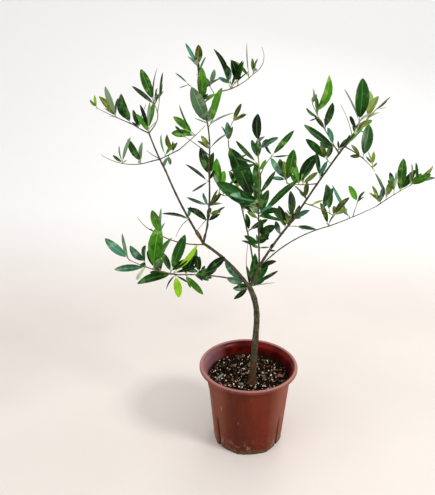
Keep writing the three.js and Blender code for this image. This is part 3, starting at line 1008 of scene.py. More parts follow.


# The bright tint is partly painted light shining through the leaves, and the blue and pale tints partly a
# painted sheen of light on their wax.
UPPER_SIDES = {
    Tint.DARK: LeafFinish("leaf dark", "000a00", "1a4c0c", "64964a", 0.28, 0.08),
    Tint.BRIGHT: LeafFinish("leaf bright", "083802", "4c9414", "94c05c", 0.3, 0.07),
    Tint.OLIVE: LeafFinish("leaf olive", "1c3206", "708830", "aeb468", 0.36, 0.06),
    Tint.BLUE: LeafFinish("leaf blue", "022612", "448462", "9cc09c", 0.26, 0.1),
    Tint.PALE: LeafFinish("leaf pale", "4c704c", "88a47c", "b3c09c", 0.5, 0.05),
    Tint.LIME: LeafFinish("leaf lime", "5c9a0c", "a0cc20", "c4dc60", 0.4, 0.1),
    Tint.BROWN: LeafFinish("leaf brown", "5c3a20", "8e6238", "a88454", 0.7, 0.0),
}
UNDERSIDES = (
    LeafFinish("leaf underside", "7c9078", "b2c2a8", "ccd4b4", 0.66, 0.0),
    LeafFinish("leaf young underside", "8fae54", "bccf8c", "dbe4ae", 0.6, 0.0),
    LeafFinish("leaf dry underside", "76583a", "9c7e58", "b49a74", 0.8, 0.0),
)
# Which underside a leaf has, where it is not the first.
UNDERSIDE_OF = {Tint.LIME: 1, Tint.BROWN: 2}


@dataclass(frozen=True)
class TwigFinish:
    """Young olive bark: grey-brown where it is older, yellow-green and cream near the tips.

    Attributes:
        old: The colour of last year's wood.
        middle: The colour between.
        young: The colour of this year's growth.
        lenticel: The colour of its pale specks.
        patch: The colour of its duller patches.
        roughness: How matt it is.
    """

    old: str = "3e3423"
    middle: str = "625935"
    young: str = "8c8c4a"
    lenticel: str = "b0a684"
    patch: str = "5e5440"
    roughness: float = 0.66

    def build(self) -> Material:
        """Blends by the growth marks, with specks, patches and a fine grain."""
        paint = Shader("olive twig", self.roughness, Specular_IOR_Level=0.25)
        age = paint.axis("Z", paint.growth())
        drift = paint.plus(age, paint.times(paint.noise(260, 3), 0.35))
        paint.base = paint.ramp(drift, (0.25, self.old), (0.6, self.middle), (1.0, self.young))
        paint.lay(self.lenticel, paint.fade(paint.cells(1500), 0.22, 0.12), 0.3)
        paint.lay(self.patch, paint.fade(paint.noise(420, 4), 0.56, 0.72), 0.5)
        paint.matt(paint.noise(600, 3), 0.12, 0.12)
        paint.bump(paint.noise(2400, 3), 0.4, 0.0003)
        return paint.done()


@dataclass(frozen=True)
class BarkFinish:
    """Bark of the trunk and boughs: brown at the foot, grey-green and finely cracked above.

    Attributes:
        foot: The colour of the root flare.
        dark: The darker colour above it.
        light: The lighter colour above it.
        crack: The colour in the cracks.
        bloom: The colour of lichen bloom and worn skin.
        algae: The colour of its green patches.
        upper: The colour of the boughs above the fork.
        lenticel: The colour of its pale specks.
        roughness: How matt it is.
    """

    foot: str = "4c2f17"
    dark: str = "26241a"
    light: str = "524e38"
    crack: str = "1e170e"
    bloom: str = "716c50"
    algae: str = "6c7350"
    upper: str = "544a3b"
    lenticel: str = "c3b894"
    roughness: float = 0.82

    def build(self) -> Material:
        """Blends streaks along the wood, cracks, lichen bloom and lenticels."""
        paint = Shader("olive bark", self.roughness, Specular_IOR_Level=0.25)
        lengthwise = paint.stretched((1, 1, 0.28))
        streaks = paint.noise(520, 5, 0.62, lengthwise)
        paint.base = paint.mix(paint.fade(streaks, 0.34, 0.66), self.dark, self.light)
        paint.lay(self.bloom, paint.fade(paint.noise(95, 4, 0.55), 0.5, 0.68), 0.55)
        paint.lay(self.algae, paint.fade(paint.noise(60, 3), 0.48, 0.66), 0.35)
        height = paint.plus(paint.axis("Z"), paint.times(paint.noise(80, 3), 0.02))
        paint.base = paint.mix(paint.fade(height, 0.172, 0.126), paint.base, self.foot)
        paint.lay(self.upper, paint.fade(height, 0.25, 0.3), 0.6)
        cracks = paint.fade(paint.noise(900, 6, 0.7, lengthwise), 0.47, 0.4)
        paint.lay(self.crack, cracks, 0.7)
        lenticels = paint.cells(420, paint.stretched((1, 1, 0.6)))
        paint.lay(self.lenticel, paint.fade(lenticels, 0.17, 0.1), 0.5)
        paint.matt(streaks, 0.1, 0.12)
        paint.bump(paint.maths("SUBTRACT", streaks, paint.times(cracks, 0.6)), 0.55, 0.0008)
        return paint.done()


@dataclass(frozen=True)
class PotFinish:
    """Moulded brown-red plastic that has stood outside: dusty, scuffed, with scale at its foot.

    Attributes:
        deep: The darker of the plastic's two tones.
        warm: The lighter of them.
        cloud: The colour of its soft clouds.
        painted_side_light: The colour of the painted light on the left and right sides.
        worn: The chalky colour of the lip.
        edge: The colour of the lip's top edge: rubbed, and lighter as a painted highlight where the light
            falls on it.
        dust: The colour of the dust and scale.
        grime: The colour of the grime at its foot.
        flute: The colour of the painted shade deep in the flutes.
        scratch: The colour of the scratches.
        roughness: How matt it is.
    """

    deep: str = "4a1705"
    warm: str = "68230c"
    cloud: str = "5a1c0c"
    painted_side_light: str = "a05c44"
    worn: str = "a65c54"
    edge: str = "b28480"
    dust: str = "968c70"
    grime: str = "4c4434"
    flute: str = "140703"
    scratch: str = "d9b7a0"
    roughness: float = 0.5

    def build(self, rim: Span) -> Material:
        """Blends drawn bands, painted light on the sides, a worn rim with a painted highlight on its top,
        dust, scuffs, grime, painted shade in the flutes and scale.

        Args:
            rim: Height of the rim's foot and top, in metres.

        Returns:
            The material.
        """
        paint = Shader("pot plastic", self.roughness, Specular_IOR_Level=0.14)
        height = paint.axis("Z")
        bands = paint.noise(46, 3, 0.5, paint.stretched((1, 1, 0.12)))
        paint.base = paint.mix(paint.fade(bands, 0.28, 0.72), self.deep, self.warm)
        clouds = paint.noise(24, 5, 0.6)
        paint.lay(self.cloud, paint.fade(clouds, 0.45, 0.7), 0.35)
        # Painted light: the left and right sides lighter, where the light falls on them.
        paint.lay(self.painted_side_light, paint.fade(paint.maths("ABSOLUTE", paint.axis("X")), 0.024, 0.05), 0.4)
        paint.lay(self.worn, paint.fade(height, rim[0] - 0.001, rim[0] + 0.002), 0.2)
        # The lip's top edge: rubbed, and partly a painted highlight of the light on its top.
        paint.lay(self.edge, paint.fade(height, rim[1] - 0.0022, rim[1] - 0.0004), 0.6)
        specks = paint.fade(paint.noise(720, 6, 0.75), 0.6, 0.72)
        paint.lay(self.dust, specks, 0.3)
        low = paint.fade(height, 0.034, 0.001)
        stains = paint.fade(paint.noise(120, 6, 0.7), 0.52, 0.64)
        paint.lay(self.dust, paint.times(low, stains), 0.75)
        grime = paint.fade(paint.noise(60, 5, 0.65), 0.35, 0.6)
        paint.lay(self.grime, paint.fade(height, 0.012, 0.001), grime)
        # Painted shade deep in the flutes, by the pot's growth marks.
        paint.lay(self.flute, paint.axis("X", paint.growth()), 0.9)
        scratches = paint.noise(240, 4, 0.6, paint.stretched((1, 1, 0.08), (14, 8, 0)))
        paint.lay(self.scratch, paint.fade(scratches, 0.685, 0.72), 0.35)
        paint.matt(clouds, 0.08, 0.14)
        paint.bump(paint.plus(paint.noise(1500, 3), paint.times(specks, 0.6)), 0.16, 0.0003)
        return paint.done()


@dataclass(frozen=True)
class PotInsideFinish:
    """The glossier inside of the pot, with a painted sheen on its left and a dusty tide line above the
    soil.

    Attributes:
        deep: The darker of the plastic's two tones.
        warm: The lighter of them.
        dust: The colour of the painted sheen on the left and of the tide line.
        splash: The colour of the splashes just above the soil.
        edge: The colour of the lip's inner edge.
        roughness: How matt it is.
    """

    deep: str = "3a0805"
    warm: str = "6c120a"
    dust: str = "a67c82"
    splash: str = "2c1610"
    edge: str = "8c4a40"
    roughness: float = 0.3

    def build(self, span: Span) -> Material:
        """Blends soft clouds, a painted sheen on the left, a tide line, splashes of soil and a worn edge.

        Args:
            span: Height of the soil and of the rim's top, in metres.

        Returns:
            The material.
        """
        paint = Shader("pot inside", self.roughness, Coat_Weight=0.04, Coat_Roughness=0.16,
                       Specular_IOR_Level=0.07)
        height = paint.axis("Z")
        clouds = paint.noise(30, 4, 0.55)
        paint.base = paint.mix(paint.fade(clouds, 0.36, 0.64), self.deep, self.warm)
        drift = paint.plus(height, paint.times(paint.noise(70, 5, 0.65), -0.014))
        tide = paint.fade(drift, span[0] + 0.0045, span[0] - 0.003)
        fine = paint.fade(paint.noise(900, 5, 0.7), 0.42, 0.62)
        # left: a painted sheen, the reflection of light on the inside's left, laid in the dust colour; the
        # tide line is strongest there too.
        left = paint.fade(paint.axis("X"), -0.03, -0.06)
        amount = paint.times(tide, paint.plus(0.02, paint.times(left, 0.5)))
        paint.lay(self.dust, left, 0.5)
        paint.lay(self.dust, amount, fine)
        paint.lay(self.splash, paint.fade(drift, span[0], span[0] - 0.006), 0.7)
        paint.lay(self.edge, paint.fade(height, span[1] - 0.002, span[1] - 0.0003), 0.5)
        paint.roughen(paint.plus(self.roughness, paint.times(amount, 0.6)))
        paint.bump(paint.noise(500, 4), 0.1, 0.0003)
        return paint.done()


@dataclass(frozen=True)
class EarthFinish:
    """Something that lies in the pot: two tones, mottled, with grain and pores.

    Attributes:
        name: The finish's name.
        dark: The darker tone.
        light: The lighter tone.
        pore: The colour of its pores.
        grain: Features per metre of the mottling.
        roughness: How matt it is.
        relief: How strong its grain stands out.
    """

    name: str
    dark: str
    light: str
    pore: str
    grain: float
    roughness: float
    relief: float

    def build(self) -> Material:
        """Blends the tones by noise, and darkens the pores."""
        paint = Shader(self.name, self.roughness, Specular_IOR_Level=0.06)
        mottle = paint.noise(self.grain, 5, 0.65)
        paint.base = paint.mix(paint.fade(mottle, 0.36, 0.64), self.dark, self.light)
        pores = paint.fade(paint.noise(self.grain * 4, 4, 0.6), 0.48, 0.36)
        paint.lay(self.pore, pores, 0.7)
        paint.matt(mottle, 0.1, 0.1)
        paint.bump(paint.maths("SUBTRACT", mottle, paint.times(pores, 0.5)), self.relief, 0.0006)
        return paint.done()


LOAM = EarthFinish("loam", "20140c", "6a4a30", "100a06", 500, 0.9, 0.7)
PEAT = EarthFinish("peat", "090604", "1c130c", "030201", 420, 0.92, 0.8)
PERLITE = EarthFinish("perlite", "b08e6a", "fff4e0", "8c7050", 130, 0.9, 0.5)
PINE_BARK = EarthFinish("pine bark", "4c3224", "a0745a", "2c1c12", 420, 0.85, 0.7)
GRIT = EarthFinish("grit", "66685f", "9a9a90", "44443e", 480, 0.7, 0.5)
SLATE = EarthFinish("slate", "4c4c48", "86847c", "2c2c28", 420, 0.7, 0.5)
ROOT = EarthFinish("root", "a8946a", "cdbd94", "7a6848", 360, 0.8, 0.5)


# ---- Foliage ----


@dataclass(frozen=True)
class Blade:
    """The shape of one leaf: a thin closed blade with a sunk midrib, on a short stalk.

    Attributes:
        rows: Shares of the blade's length where it has a row of points.
        columns: Shares of its half width where it has a column of points.
        stalk: The stalk's share of the leaf's length.
        stalk_radius: Millimetres.
        stalk_spread: How much wider it is where it leaves the twig.
        stalk_overlap: How far it reaches into the blade, in millimetres.
        thickness: Millimetres through the midrib.
        fold: How far the sides rise from the midrib, as a share of the half width.
        roll: How far the margins roll back, likewise.
        fullness: How blunt the outline is; smaller is fuller.
    """

    rows: tuple[float, ...] = (0.05, 0.17, 0.33, 0.52, 0.7, 0.85, 0.95)
    columns: tuple[float, ...] = (-1, -0.55, -0.09, 0.09, 0.55, 1)
    stalk: float = 0.075
    stalk_radius: float = 0.5
    stalk_spread: float = 1.25
    stalk_overlap: float = 1.5
    thickness: float = 0.55
    fold: float = 0.44
    roll: float = 0.24
    fullness: float = 0.74

    def half_width(self, share: float) -> float:
        """The half width at a share of the blade's length, as a share of the widest."""
        return (1 - (2 * share - 1) ** 2) ** self.fullness

    def faces(self) -> tuple[Faces, list[int]]:
        """Every face of a leaf, turned outwards.

        Returns:
            The faces, and 0 for those of the upper side and 1 for the rest.
        """
        wide = len(self.columns)
        rows = len(self.rows)
        base, tip, under = rows * wide, rows * wide + 1, rows * wide + 2
        upper, lower = [], []
        for column in range(wide - 1):
            upper.append((base, column + 1, column)[::-1])
            upper.append((tip, (rows - 1) * wide + column, (rows - 1) * wide + column + 1)[::-1])
        for row in range(rows - 1):
            low, high = row * wide, (row + 1) * wide
            for column in range(wide - 1):
                upper.append((low + column, low + column + 1, high + column + 1, high + column))
            lower.append((low, high, under + row + 1, under + row))
            lower.append((under + row, under + row + 1, high + wide - 1, low + wide - 1))
        lower.append((base, 0, under))
        lower.append((base, under, wide - 1))
        last = (rows - 1) * wide
        lower.append((tip, under + rows - 1, last))
        lower.append((tip, last + wide - 1, under + rows - 1))
        first = under + rows
        for side in range(3):
            after = (side + 1) % 3
            lower.append((first + side, first + after, first + 3 + after, first + 3 + side))
        lower.append((first + 2, first + 1, first))
        lower.append((first + 3, first + 4, first + 5))
        return upper + lower, [0] * len(upper) + [1] * len(lower)

    def points(self, leaf: Leaf, shade: float) -> tuple[Array, Array]:
        """Places a leaf's points in the order that its faces name them.

        Args:
            leaf: The leaf.
            shade: Its own shade, from 0 to 1.

        Returns:
            The points in metres, and their growth marks.
        """
        points, marks, under = [], [], []
        for share in self.rows:
            middle, side, up = self._station(leaf, share)
            half = leaf.width / 2 * self.half_width(share)
            for column in self.columns:
                rise = half * (self.fold * abs(column) - self.roll * abs(column) ** 3)
                points.append(middle + side * column * half + up * rise)
                marks.append((column, share, shade))
            under.append(middle - up * self.thickness * (0.35 + 0.65 * self.half_width(share)))
        base = self._station(leaf, 0)[0]
        points.extend([base, self._station(leaf, 1)[0], *under])
        marks.extend([(0, 0, shade), (0, 1, shade), *((0, share, shade) for share in self.rows)])
        side = np.cross(leaf.along, leaf.face)
        foot = (leaf.base, self.stalk_radius * self.stalk_spread)
        neck = (base + leaf.along * self.stalk_overlap, self.stalk_radius)
        for centre, radius in (foot, neck):
            for turn in (90, 210, 330):
                angle = math.radians(turn)
                points.append(centre + radius * (math.cos(angle) * side + math.sin(angle) * leaf.face))
                marks.append((0, 0, shade))
        return np.array(points) * MM, np.array(marks)

    def _station(self, leaf: Leaf, share: float) -> tuple[Array, Array, Array]:
        """The middle, the side and the upper directions at a share of the blade's length."""
        reach = self.stalk + (1 - self.stalk) * share
        back = leaf.arch * reach
        middle = leaf.base + leaf.length * reach * (leaf.along - back * leaf.face)
        side = np.cross(leaf.along, leaf.face)
        sway = leaf.twist / 400 * math.sin(math.pi * share)
        middle = middle + side * sway * leaf.length
        stem = unit(leaf.along - 2 * back * leaf.face)
        up = unit(leaf.face - stem * float(stem @ leaf.face))
        up = turned(up, stem, leaf.twist * share)
        return middle, np.cross(stem, up), up


# The parts of the crown that hang together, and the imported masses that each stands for.
CROWN = {
    "left": ("left_tip", "left_top", "left_side", "left_inner"),
    "middle": ("leader", "top_right", "middle_right", "middle_left", "middle_low_right",
               "middle_low_left", "back_top", "back_low"),
    "centre": ("centre", "centre_top", "centre_low", "centre_back", "fork"),
    "right": ("centre_right", "right_high", "right_top", "right_tip", "right_drop", "right_low",
              "shoot_inner", "shoot_outer"),
    "low_left": ("low_left_inner", "low_left_outer", "left_low", "left_low_drop"),
}
LEAF_CREASE = 62
TWIG_CREASE = 40


@dataclass
class Foliage:
    """All the leafy sprays: their leaves, and the twigs that carry them.

    Attributes:
        lines: The middle lines of the woody limbs and of the bare twigs, by name.
        blade: The shape of a leaf.
        shoot_radius: A leafy shoot's radius at its base and tip, in millimetres.
        swelling: How much thicker a twig is where leaves stand, in millimetres.
        swelling_reach: How far such a swelling reaches, in millimetres.
        twig_age: How young the foot of a bare twig and of a leafy shoot is, from 0 for old to 1.
        twig_step: Millimetres from one ring of a twig to the next.
        twig_sides: Sides of a twig.
        seed: Where the leaves' own shades start.
    """

    lines: dict[str, Line]
    blade: Blade = field(default_factory=Blade)
    shoot_radius: Span = (0.65, 0.5)
    swelling: float = 0.3
    swelling_reach: float = 1.5
    twig_age: Span = (0.15, 0.75)
    twig_step: float = 1.6
    twig_sides: int = 6
    seed: int = 11

    def build(self) -> list[Piece]:
        """Builds the leaves of each part of the crown, and then the twigs."""
        finishes = [*(UPPER_SIDES[tint] for tint in Tint), *UNDERSIDES]
        materials = [finish.build() for finish in finishes]
        shades = random.Random(self.seed)
        found = sprays()
        pieces = []
        for name, masses in CROWN.items():
            own = [spray for spray in found if spray.mass in masses]
            leaves = self._leaves(own, shades).build(f"leaves_{name}", materials, LEAF_CREASE)
            pieces.append(finish_piece(leaves, "leaf", *(f"foliage_{mass}" for mass in masses)))
        pieces.append(finish_piece(self._twigs(found), "bark"))
        return pieces

    def _leaves(self, own: list[Spray], shades: random.Random) -> Parts:
        """Gathers the leaves of some sprays, each with a shade of its own."""
        faces, sides = self.blade.faces()
        tints = list(Tint)
        parts = Parts()
        for spray in own:
            for leaf in spray.leaves(spray.line(self.lines)):
                points, marks = self.blade.points(leaf, shades.random())
                upper, under = tints.index(leaf.tint), len(tints) + UNDERSIDE_OF.get(leaf.tint, 0)
                parts.add(points, faces, [under if side else upper for side in sides], marks)
        return parts

    def _twigs(self, found: list[Spray]) -> Piece:
        """Joins the bare twigs and the leafy shoots."""
        parts = Parts()
        for twig in TWIGS:
            line = self.lines[twig.name]
            nodes = [spray.at for spray in found if spray.on == twig.name]
            nodes += [other.at for other in TWIGS if other.on == twig.name]
            self._add_twig(parts, line, twig.radius, nodes, self.twig_age[0])
        for spray in found:
            line = spray.line(self.lines)
            self._add_twig(parts, line, self.shoot_radius, [0.0, 1.0], self.twig_age[1])
        return parts.build("twigs", [TwigFinish().build()], TWIG_CREASE)

    def _add_twig(self, parts: Parts, line: Line, radius: Span, nodes: list[float],
                  age: float) -> None:
        """Adds one twig.

        Args:
            parts: The meshes that it joins.
            line: Its middle line.
            radius: First and last radius, in millimetres.
            nodes: Shares of its length where leaves or twigs leave it.
            age: How young its wood is at its base, from 0 for old to 1.
        """
        steps = max(4, int(line.length / self.twig_step))
        shares = np.linspace(0, 1, steps)
        radii = []
        for share in shares:
            off = [(share - node) * line.length / self.swelling_reach for node in nodes]
            swell = max((math.exp(-reach ** 2) for reach in off), default=0.0)
            radii.append(lerp(*radius, share) + self.swelling * swell * (0.5 + radius[0] / 2))
        points = np.array([line.point(share) for share in shares]) * MM
        shape, faces = tube(points, np.array(radii) * MM, self.twig_sides)
        along = np.append(np.repeat(shares, self.twig_sides), [0, 1])
        marks = np.column_stack([np.zeros_like(along), along, age + (1 - age) * along])
        parts.add(shape, faces, marks=marks)


# ---- Trunk and boughs ----

# The bark's relief: how strong each pattern is, and its features per metre along each axis.
RELIEF = (
    (0.42, (190, 190, 90)),
    (0.22, (900, 900, 330)),
    (0.1, (1900, 1900, 900)),
)


@dataclass
class Wood:
    """The trunk and all woody limbs as one skin, with the bark's relief. Sizes in millimetres.

    Attributes:
        limbs: The middle lines, by name.
        sides: Sides of a limb before the skin is closed over it.
        step: From one ring of a limb to the next.
        trunk_sides: Sides of the trunk, likewise.
        trunk_rings: Rings of the trunk.
        voxel: Size of the skin's cells.
        flare: How far the root flare stands out.
        flare_height: How quickly it fades upwards.
        sunk: How far the trunk reaches down into the soil, and how much it widens there.
        burls: How far up the trunk its swellings stand.
        burl: Reach and height of such a swelling.
        node_gap: From one pair of leaf scars to the next.
        node_reach: How far the swelling at a scar reaches.
        node_swell: How far it stands out, as a share of the radius.
        collar: How far a limb swells where it leaves its host, likewise.
        collar_reach: How quickly that swelling fades.
        relief_top: How far above the soil the trunk's relief has faded to that of the limbs.
    """

    limbs: dict[str, Line]
    sides: int = 16
    step: float = 2.2
    trunk_sides: int = 28
    trunk_rings: int = 60
    voxel: float = 0.5
    flare: float = 2.6
    flare_height: float = 9.0
    sunk: Span = (4.0, 0.6)
    burls: tuple[float, ...] = (31, 58, 97, 128)
    burl: Span = (3.2, 0.45)
    node_gap: float = 23.0
    node_reach: float = 1.8
    node_swell: float = 0.16
    collar: float = 0.3
    collar_reach: float = 3.5
    relief_top: float = 170

    def build(self) -> Piece:
        """Builds the skin, roughens it and dresses it."""
        parts = Parts()
        self._add_trunk(parts)
        for limb in LIMBS:
            self._add_limb(parts, limb)
        wood = parts.build("trunk_and_boughs", [BarkFinish().build()], 60)
        material = wood.data.materials[0]
        apply_modifier(wood, "REMESH", mode="VOXEL", voxel_size=self.voxel * MM, use_smooth_shade=True)
        if not wood.data.materials:
            wood.data.materials.append(material)
        self._roughen(wood)
        return finish_piece(wood, "bark", TRUNK, *(limb.name for limb in LIMBS))

    def _add_trunk(self, parts: Parts) -> None:
        """Adds the trunk, which starts under the soil."""
        line = self.limbs[TRUNK]
        shares = np.linspace(0, 1, self.trunk_rings)
        points = [line.points[0] - line.headings[0] * self.sunk[0]]
        points += [line.point(share) for share in shares]
        burl_reach, burl_height = self.burl
        radii = []
        for share in shares:
            thick = lerp(*TRUNK_RADIUS, share)
            swell = self.flare * math.exp(-share * line.length / self.flare_height)
            burl = sum(math.exp(-((share * line.length - place) / burl_reach) ** 2) for place in self.burls)
            radii.append(thick + swell + burl * burl_height)
        radii = [radii[0] + self.sunk[1]] + radii
        parts.add(*tube(np.array(points) * MM, np.array(radii) * MM, self.trunk_sides))

    def _add_limb(self, parts: Parts, limb: Limb) -> None:
        """Adds a limb with a collar at its foot and a swelling at each pair of leaf scars."""
        line = self.limbs[limb.name]
        shares = np.linspace(0, 1, max(14, int(line.length / self.step)))
        radii = []
        for share in shares:
            reach = share * line.length
            off = (reach - self.node_gap * 0.6) % self.node_gap
            off = min(off, self.node_gap - off)
            swell = self.node_swell * math.exp(-(off / self.node_reach) ** 2)
            swell += self.collar * math.exp(-reach / self.collar_reach)
            radii.append(lerp(*limb.radius, share) * (1 + swell))
        points = np.array([line.point(share) for share in shares])
        points[0] = points[0] - line.headings[0] * limb.radius[0] * 0.4
        parts.add(*tube(points * MM, np.array(radii) * MM, self.sides))

    def _roughen(self, wood: Piece) -> None:
        """Moves the skin in and out for ribs, lumps and fine cracks."""
        points = coordinates(wood)
        normals = np.empty(len(points) * 3, np.float32)
        wood.data.vertices.foreach_get("normal", normals)
        foot = np.array(TRUNK_FOOT) * MM
        moved = []
        for point, normal in zip(points, normals.reshape(-1, 3)):
            above = point[2] - foot[2]
            low = max(0.0, 1.0 - above / (self.relief_top * MM))
            on_trunk = abs(point[0]) < 0.035 and point[2] < 0.27
            strength = 0.25 + 0.75 * low if on_trunk else 0.3
            out = sum(weight * noise.noise(Vector(point * features)) for weight, features in RELIEF)
            if above < 0.02:
                angle = math.atan2(point[1] - foot[1], point[0] - foot[0])
                out += 1.1 * math.cos(3 * angle + 0.6) * math.exp(-above / 0.008)
            moved.append(normal * out * strength * MM)
        set_coordinates(wood, points + np.array(moved))


# ---- Pot and soil ----

SOIL_TOP = 107.5


def off_bearing(angles: Array, count: int, bearing: float) -> Array:
    """Degrees from the nearest of several evenly spaced bearings."""
    pitch = 360 / count
    return np.mod(angles - bearing + pitch / 2, pitch) - pitch / 2


def smooth(share: Array) -> Array:
    """A share from 0 to 1 that starts and ends gently."""
    held = np.clip(share, 0, 1)
    return held * held * (3 - 2 * held)


@dataclass(frozen=True)
class Pot:
    """An eight-sided nursery pot with a rolled lip, pressed flutes and drains. Sizes in millimetres.

    Attributes:
        height: From the underside to the rim's top.
        wall: Thickness of the wall and the floor.
        foot_radius: The body's outside at its foot.
        shoulder_radius: The body's outside under the lip.
        mouth_radius: The lip's inside.
        rim_radius: The lip's outside.
        lip_height: The lip's height.
        lip_rounds: Radii of the lip's lower, upper and inner edges.
        worn_edge: How far down from its top the lip's inner edge has the outside's finish.
        fillet: Radius of the corner under the lip.
        edge: Radius of the edge at its foot.
        throat: The height where the flared mouth meets the straight wall.
        flare: How late the mouth flares out; larger is later.
        recess: How far the underside's middle is raised.
        recess_slope: How far in from the foot's outside it starts to fall, and ends.
        facets: How many flats go round the body.
        facet_edge: Bearing of one edge between two flats, from the front towards +X.
        facet_depth: How far a flat's middle lies inside the round.
        facet_fade: How far below the lip the flats begin, and are at their full depth.
        flutes: Bearings of the flutes that are pressed into the foot.
        flute_height: How high they reach.
        flute_depth: How deep they are at the foot.
        flute_half: Half their width, in degrees.
        flute_curve: How their depth runs out upwards; smaller is later.
        uneven: How far the plastic is warped in and out.
        drains: How many drains there are.
        drain_bearing: Bearing of the first drain.
        drain: Width, reach and height of a drain.
        drain_edge: Width of its bevelled edges.
        columns: How many points go round.
        crease: The angle from which an edge is sharp, in degrees.
    """

    height: float = 130
    wall: float = 1.5
    foot_radius: float = 54.5
    shoulder_radius: float = 66
    mouth_radius: float = 69.9
    rim_radius: float = 75
    lip_height: float = 6
    lip_rounds: Triple = (1.8, 2.6, 2.4)
    worn_edge: float = 1.7
    fillet: float = 1.2
    edge: float = 1.6
    throat: float = 118
    flare: float = 3
    recess: float = 0.8
    recess_slope: Span = (8, 6.5)
    facets: int = 8
    facet_edge: float = -15.5
    facet_depth: float = 2.1
    facet_fade: Span = (8, 45)
    flutes: tuple[float, ...] = (-54.5, 55, 179.5)
    flute_height: float = 62
    flute_depth: float = 6
    flute_half: float = 2.7
    flute_curve: float = 0.45
    uneven: float = 0.16
    drains: int = 3
    drain_bearing: float = -13
    drain: Triple = (7, 12, 3)
    drain_edge: float = 0.8
    columns: int = 288
    crease: float = 28

    @property
    def lip_foot(self) -> float:
        """The height of the lip's underside."""
        return self.height - self.lip_height

    def outside(self, height: float) -> float:
        """The body's outside radius at a height, before its flats are pressed."""
        return lerp(self.foot_radius, self.shoulder_radius, height / self.lip_foot)

    def _arc(self, radius: float, height: float, size: float, turns: Span, steps: int) -> list:
        """Profile points on an arc about a (radius, height), by degrees from outwards to upwards."""
        angles = np.radians(np.linspace(*turns, steps))
        return [(radius + size * math.cos(angle), height + size * math.sin(angle)) for angle in angles]

    def _profile(self) -> list[Span]:
        """The wall's section as (radius, height), from the underside's middle round to the floor's."""
        foot, top, lip = self.foot_radius, self.height, self.lip_foot
        low, high, inner = self.lip_rounds
        start, end = self.recess_slope
        under = [(0.6, self.recess), (24, self.recess), (foot - start, self.recess), (foot - end, 0)]
        corner = self._arc(foot - self.edge, self.edge, self.edge, (-90, 0), 6)
        body = [(self.outside(z), z) for z in np.linspace(4, lip - self.fillet, 60)]
        size = self.fillet
        fillet = self._arc(self.outside(lip) + size, lip - size, size, (180, 90), 4)
        lip_low = self._arc(self.rim_radius - low, lip + low, low, (-90, 0), 6)
        lip_top = self._arc(self.rim_radius - high, top - high, high, (8, 90), 9)
        lip_in = self._arc(self.mouth_radius + inner, top - inner, inner, (90, 158), 7)
        mouth_radius, mouth_height = lip_in[-1]
        flare = mouth_radius - self.outside(mouth_height) + self.wall
        mouth = []
        for z in np.linspace(mouth_height, self.throat, 12)[1:]:
            share = (z - self.throat) / (mouth_height - self.throat)
            mouth.append((self.outside(z) - self.wall + flare * share ** self.flare, z))
        inside = [(self.outside(z) - self.wall, z)
                  for z in np.linspace(self.throat - 1.5, self.wall + 3, 40)]
        floor = [(foot - 3.6, self.wall + 0.6), (foot - 6, self.wall), (24, self.wall), (0.6, self.wall)]
        return under + corner + body + fillet + lip_low + lip_top + lip_in + mouth + inside + floor

    def _turn(self) -> Piece:
        """Draws the wall up ring by ring from the underside, and closes both middles."""
        profile = self._profile()
        radius, height = profile[0]
        bpy.ops.object.select_all(action="DESELECT")
        bpy.ops.mesh.primitive_circle_add(vertices=self.columns, radius=radius * MM,
                                          location=(0, 0, height * MM))
        pot = opened("pot_shell")
        for (before, low), (after, high) in zip(profile, profile[1:]):
            bpy.ops.mesh.extrude_edges_move(TRANSFORM_OT_translate={"value": (0, 0, (high - low) * MM)})
            widen(after / before)
        bpy.ops.mesh.merge(type="CENTER")
        bpy.ops.mesh.select_all(action="DESELECT")
        bpy.ops.mesh.select_non_manifold()
        bpy.ops.mesh.merge(type="CENTER")
        close_outwards()
        return pot

    def off_flute(self, angles: Array) -> Array:
        """How far each angle lies from the nearest flute's middle, in half flute widths."""
        off = [np.abs(off_bearing(angles, 1, bearing)) for bearing in self.flutes]
        return np.min(off, axis=0) / self.flute_half

    def pressed_in(self, angles: Array, heights: Array) -> Array:
        """How far the wall lies inside its round at each angle and height, in millimetres."""
        half = 180 / self.facets
        share = off_bearing(angles, self.facets, self.facet_edge + half) / half
        below = self.lip_foot - heights
        fade = smooth((below - self.facet_fade[0]) / (self.facet_fade[1] - self.facet_fade[0]))
        facet = self.facet_depth * (1 - share * share) * fade
        off = self.off_flute(angles)
        deep = self.flute_depth * np.maximum(1 - heights / self.flute_height, 0) ** self.flute_curve
        edge = self.facet_depth * (1 - (1 - self.flute_half / half) ** 2)
        flute = np.where((off < 1) & (heights < self.flute_height), deep + (edge - deep) * off**5, 0)
        return np.maximum(facet, flute)

    def _mark_flutes(self, pot: Piece) -> None:
        """Marks how deep in a flute each point lies, for the painted shade there."""
        points = coordinates(pot) / MM
        angles = np.degrees(np.arctan2(points[:, 0], -points[:, 1]))
        off = self.off_flute(angles)
        outer = np.hypot(points[:, 0], points[:, 1]) > self.foot_radius - self.flute_depth - 0.6
        # Painted shade: deepest in a flute's middle and low down.
        flute_shade = smooth(1.5 - 1.3 * off) * smooth(2.2 - 2 * points[:, 2] / self.flute_height)
        marks = np.zeros((len(points), 3))
        marks[:, 0] = np.where(outer, flute_shade, 0)
        mark_growth(pot.data, marks)

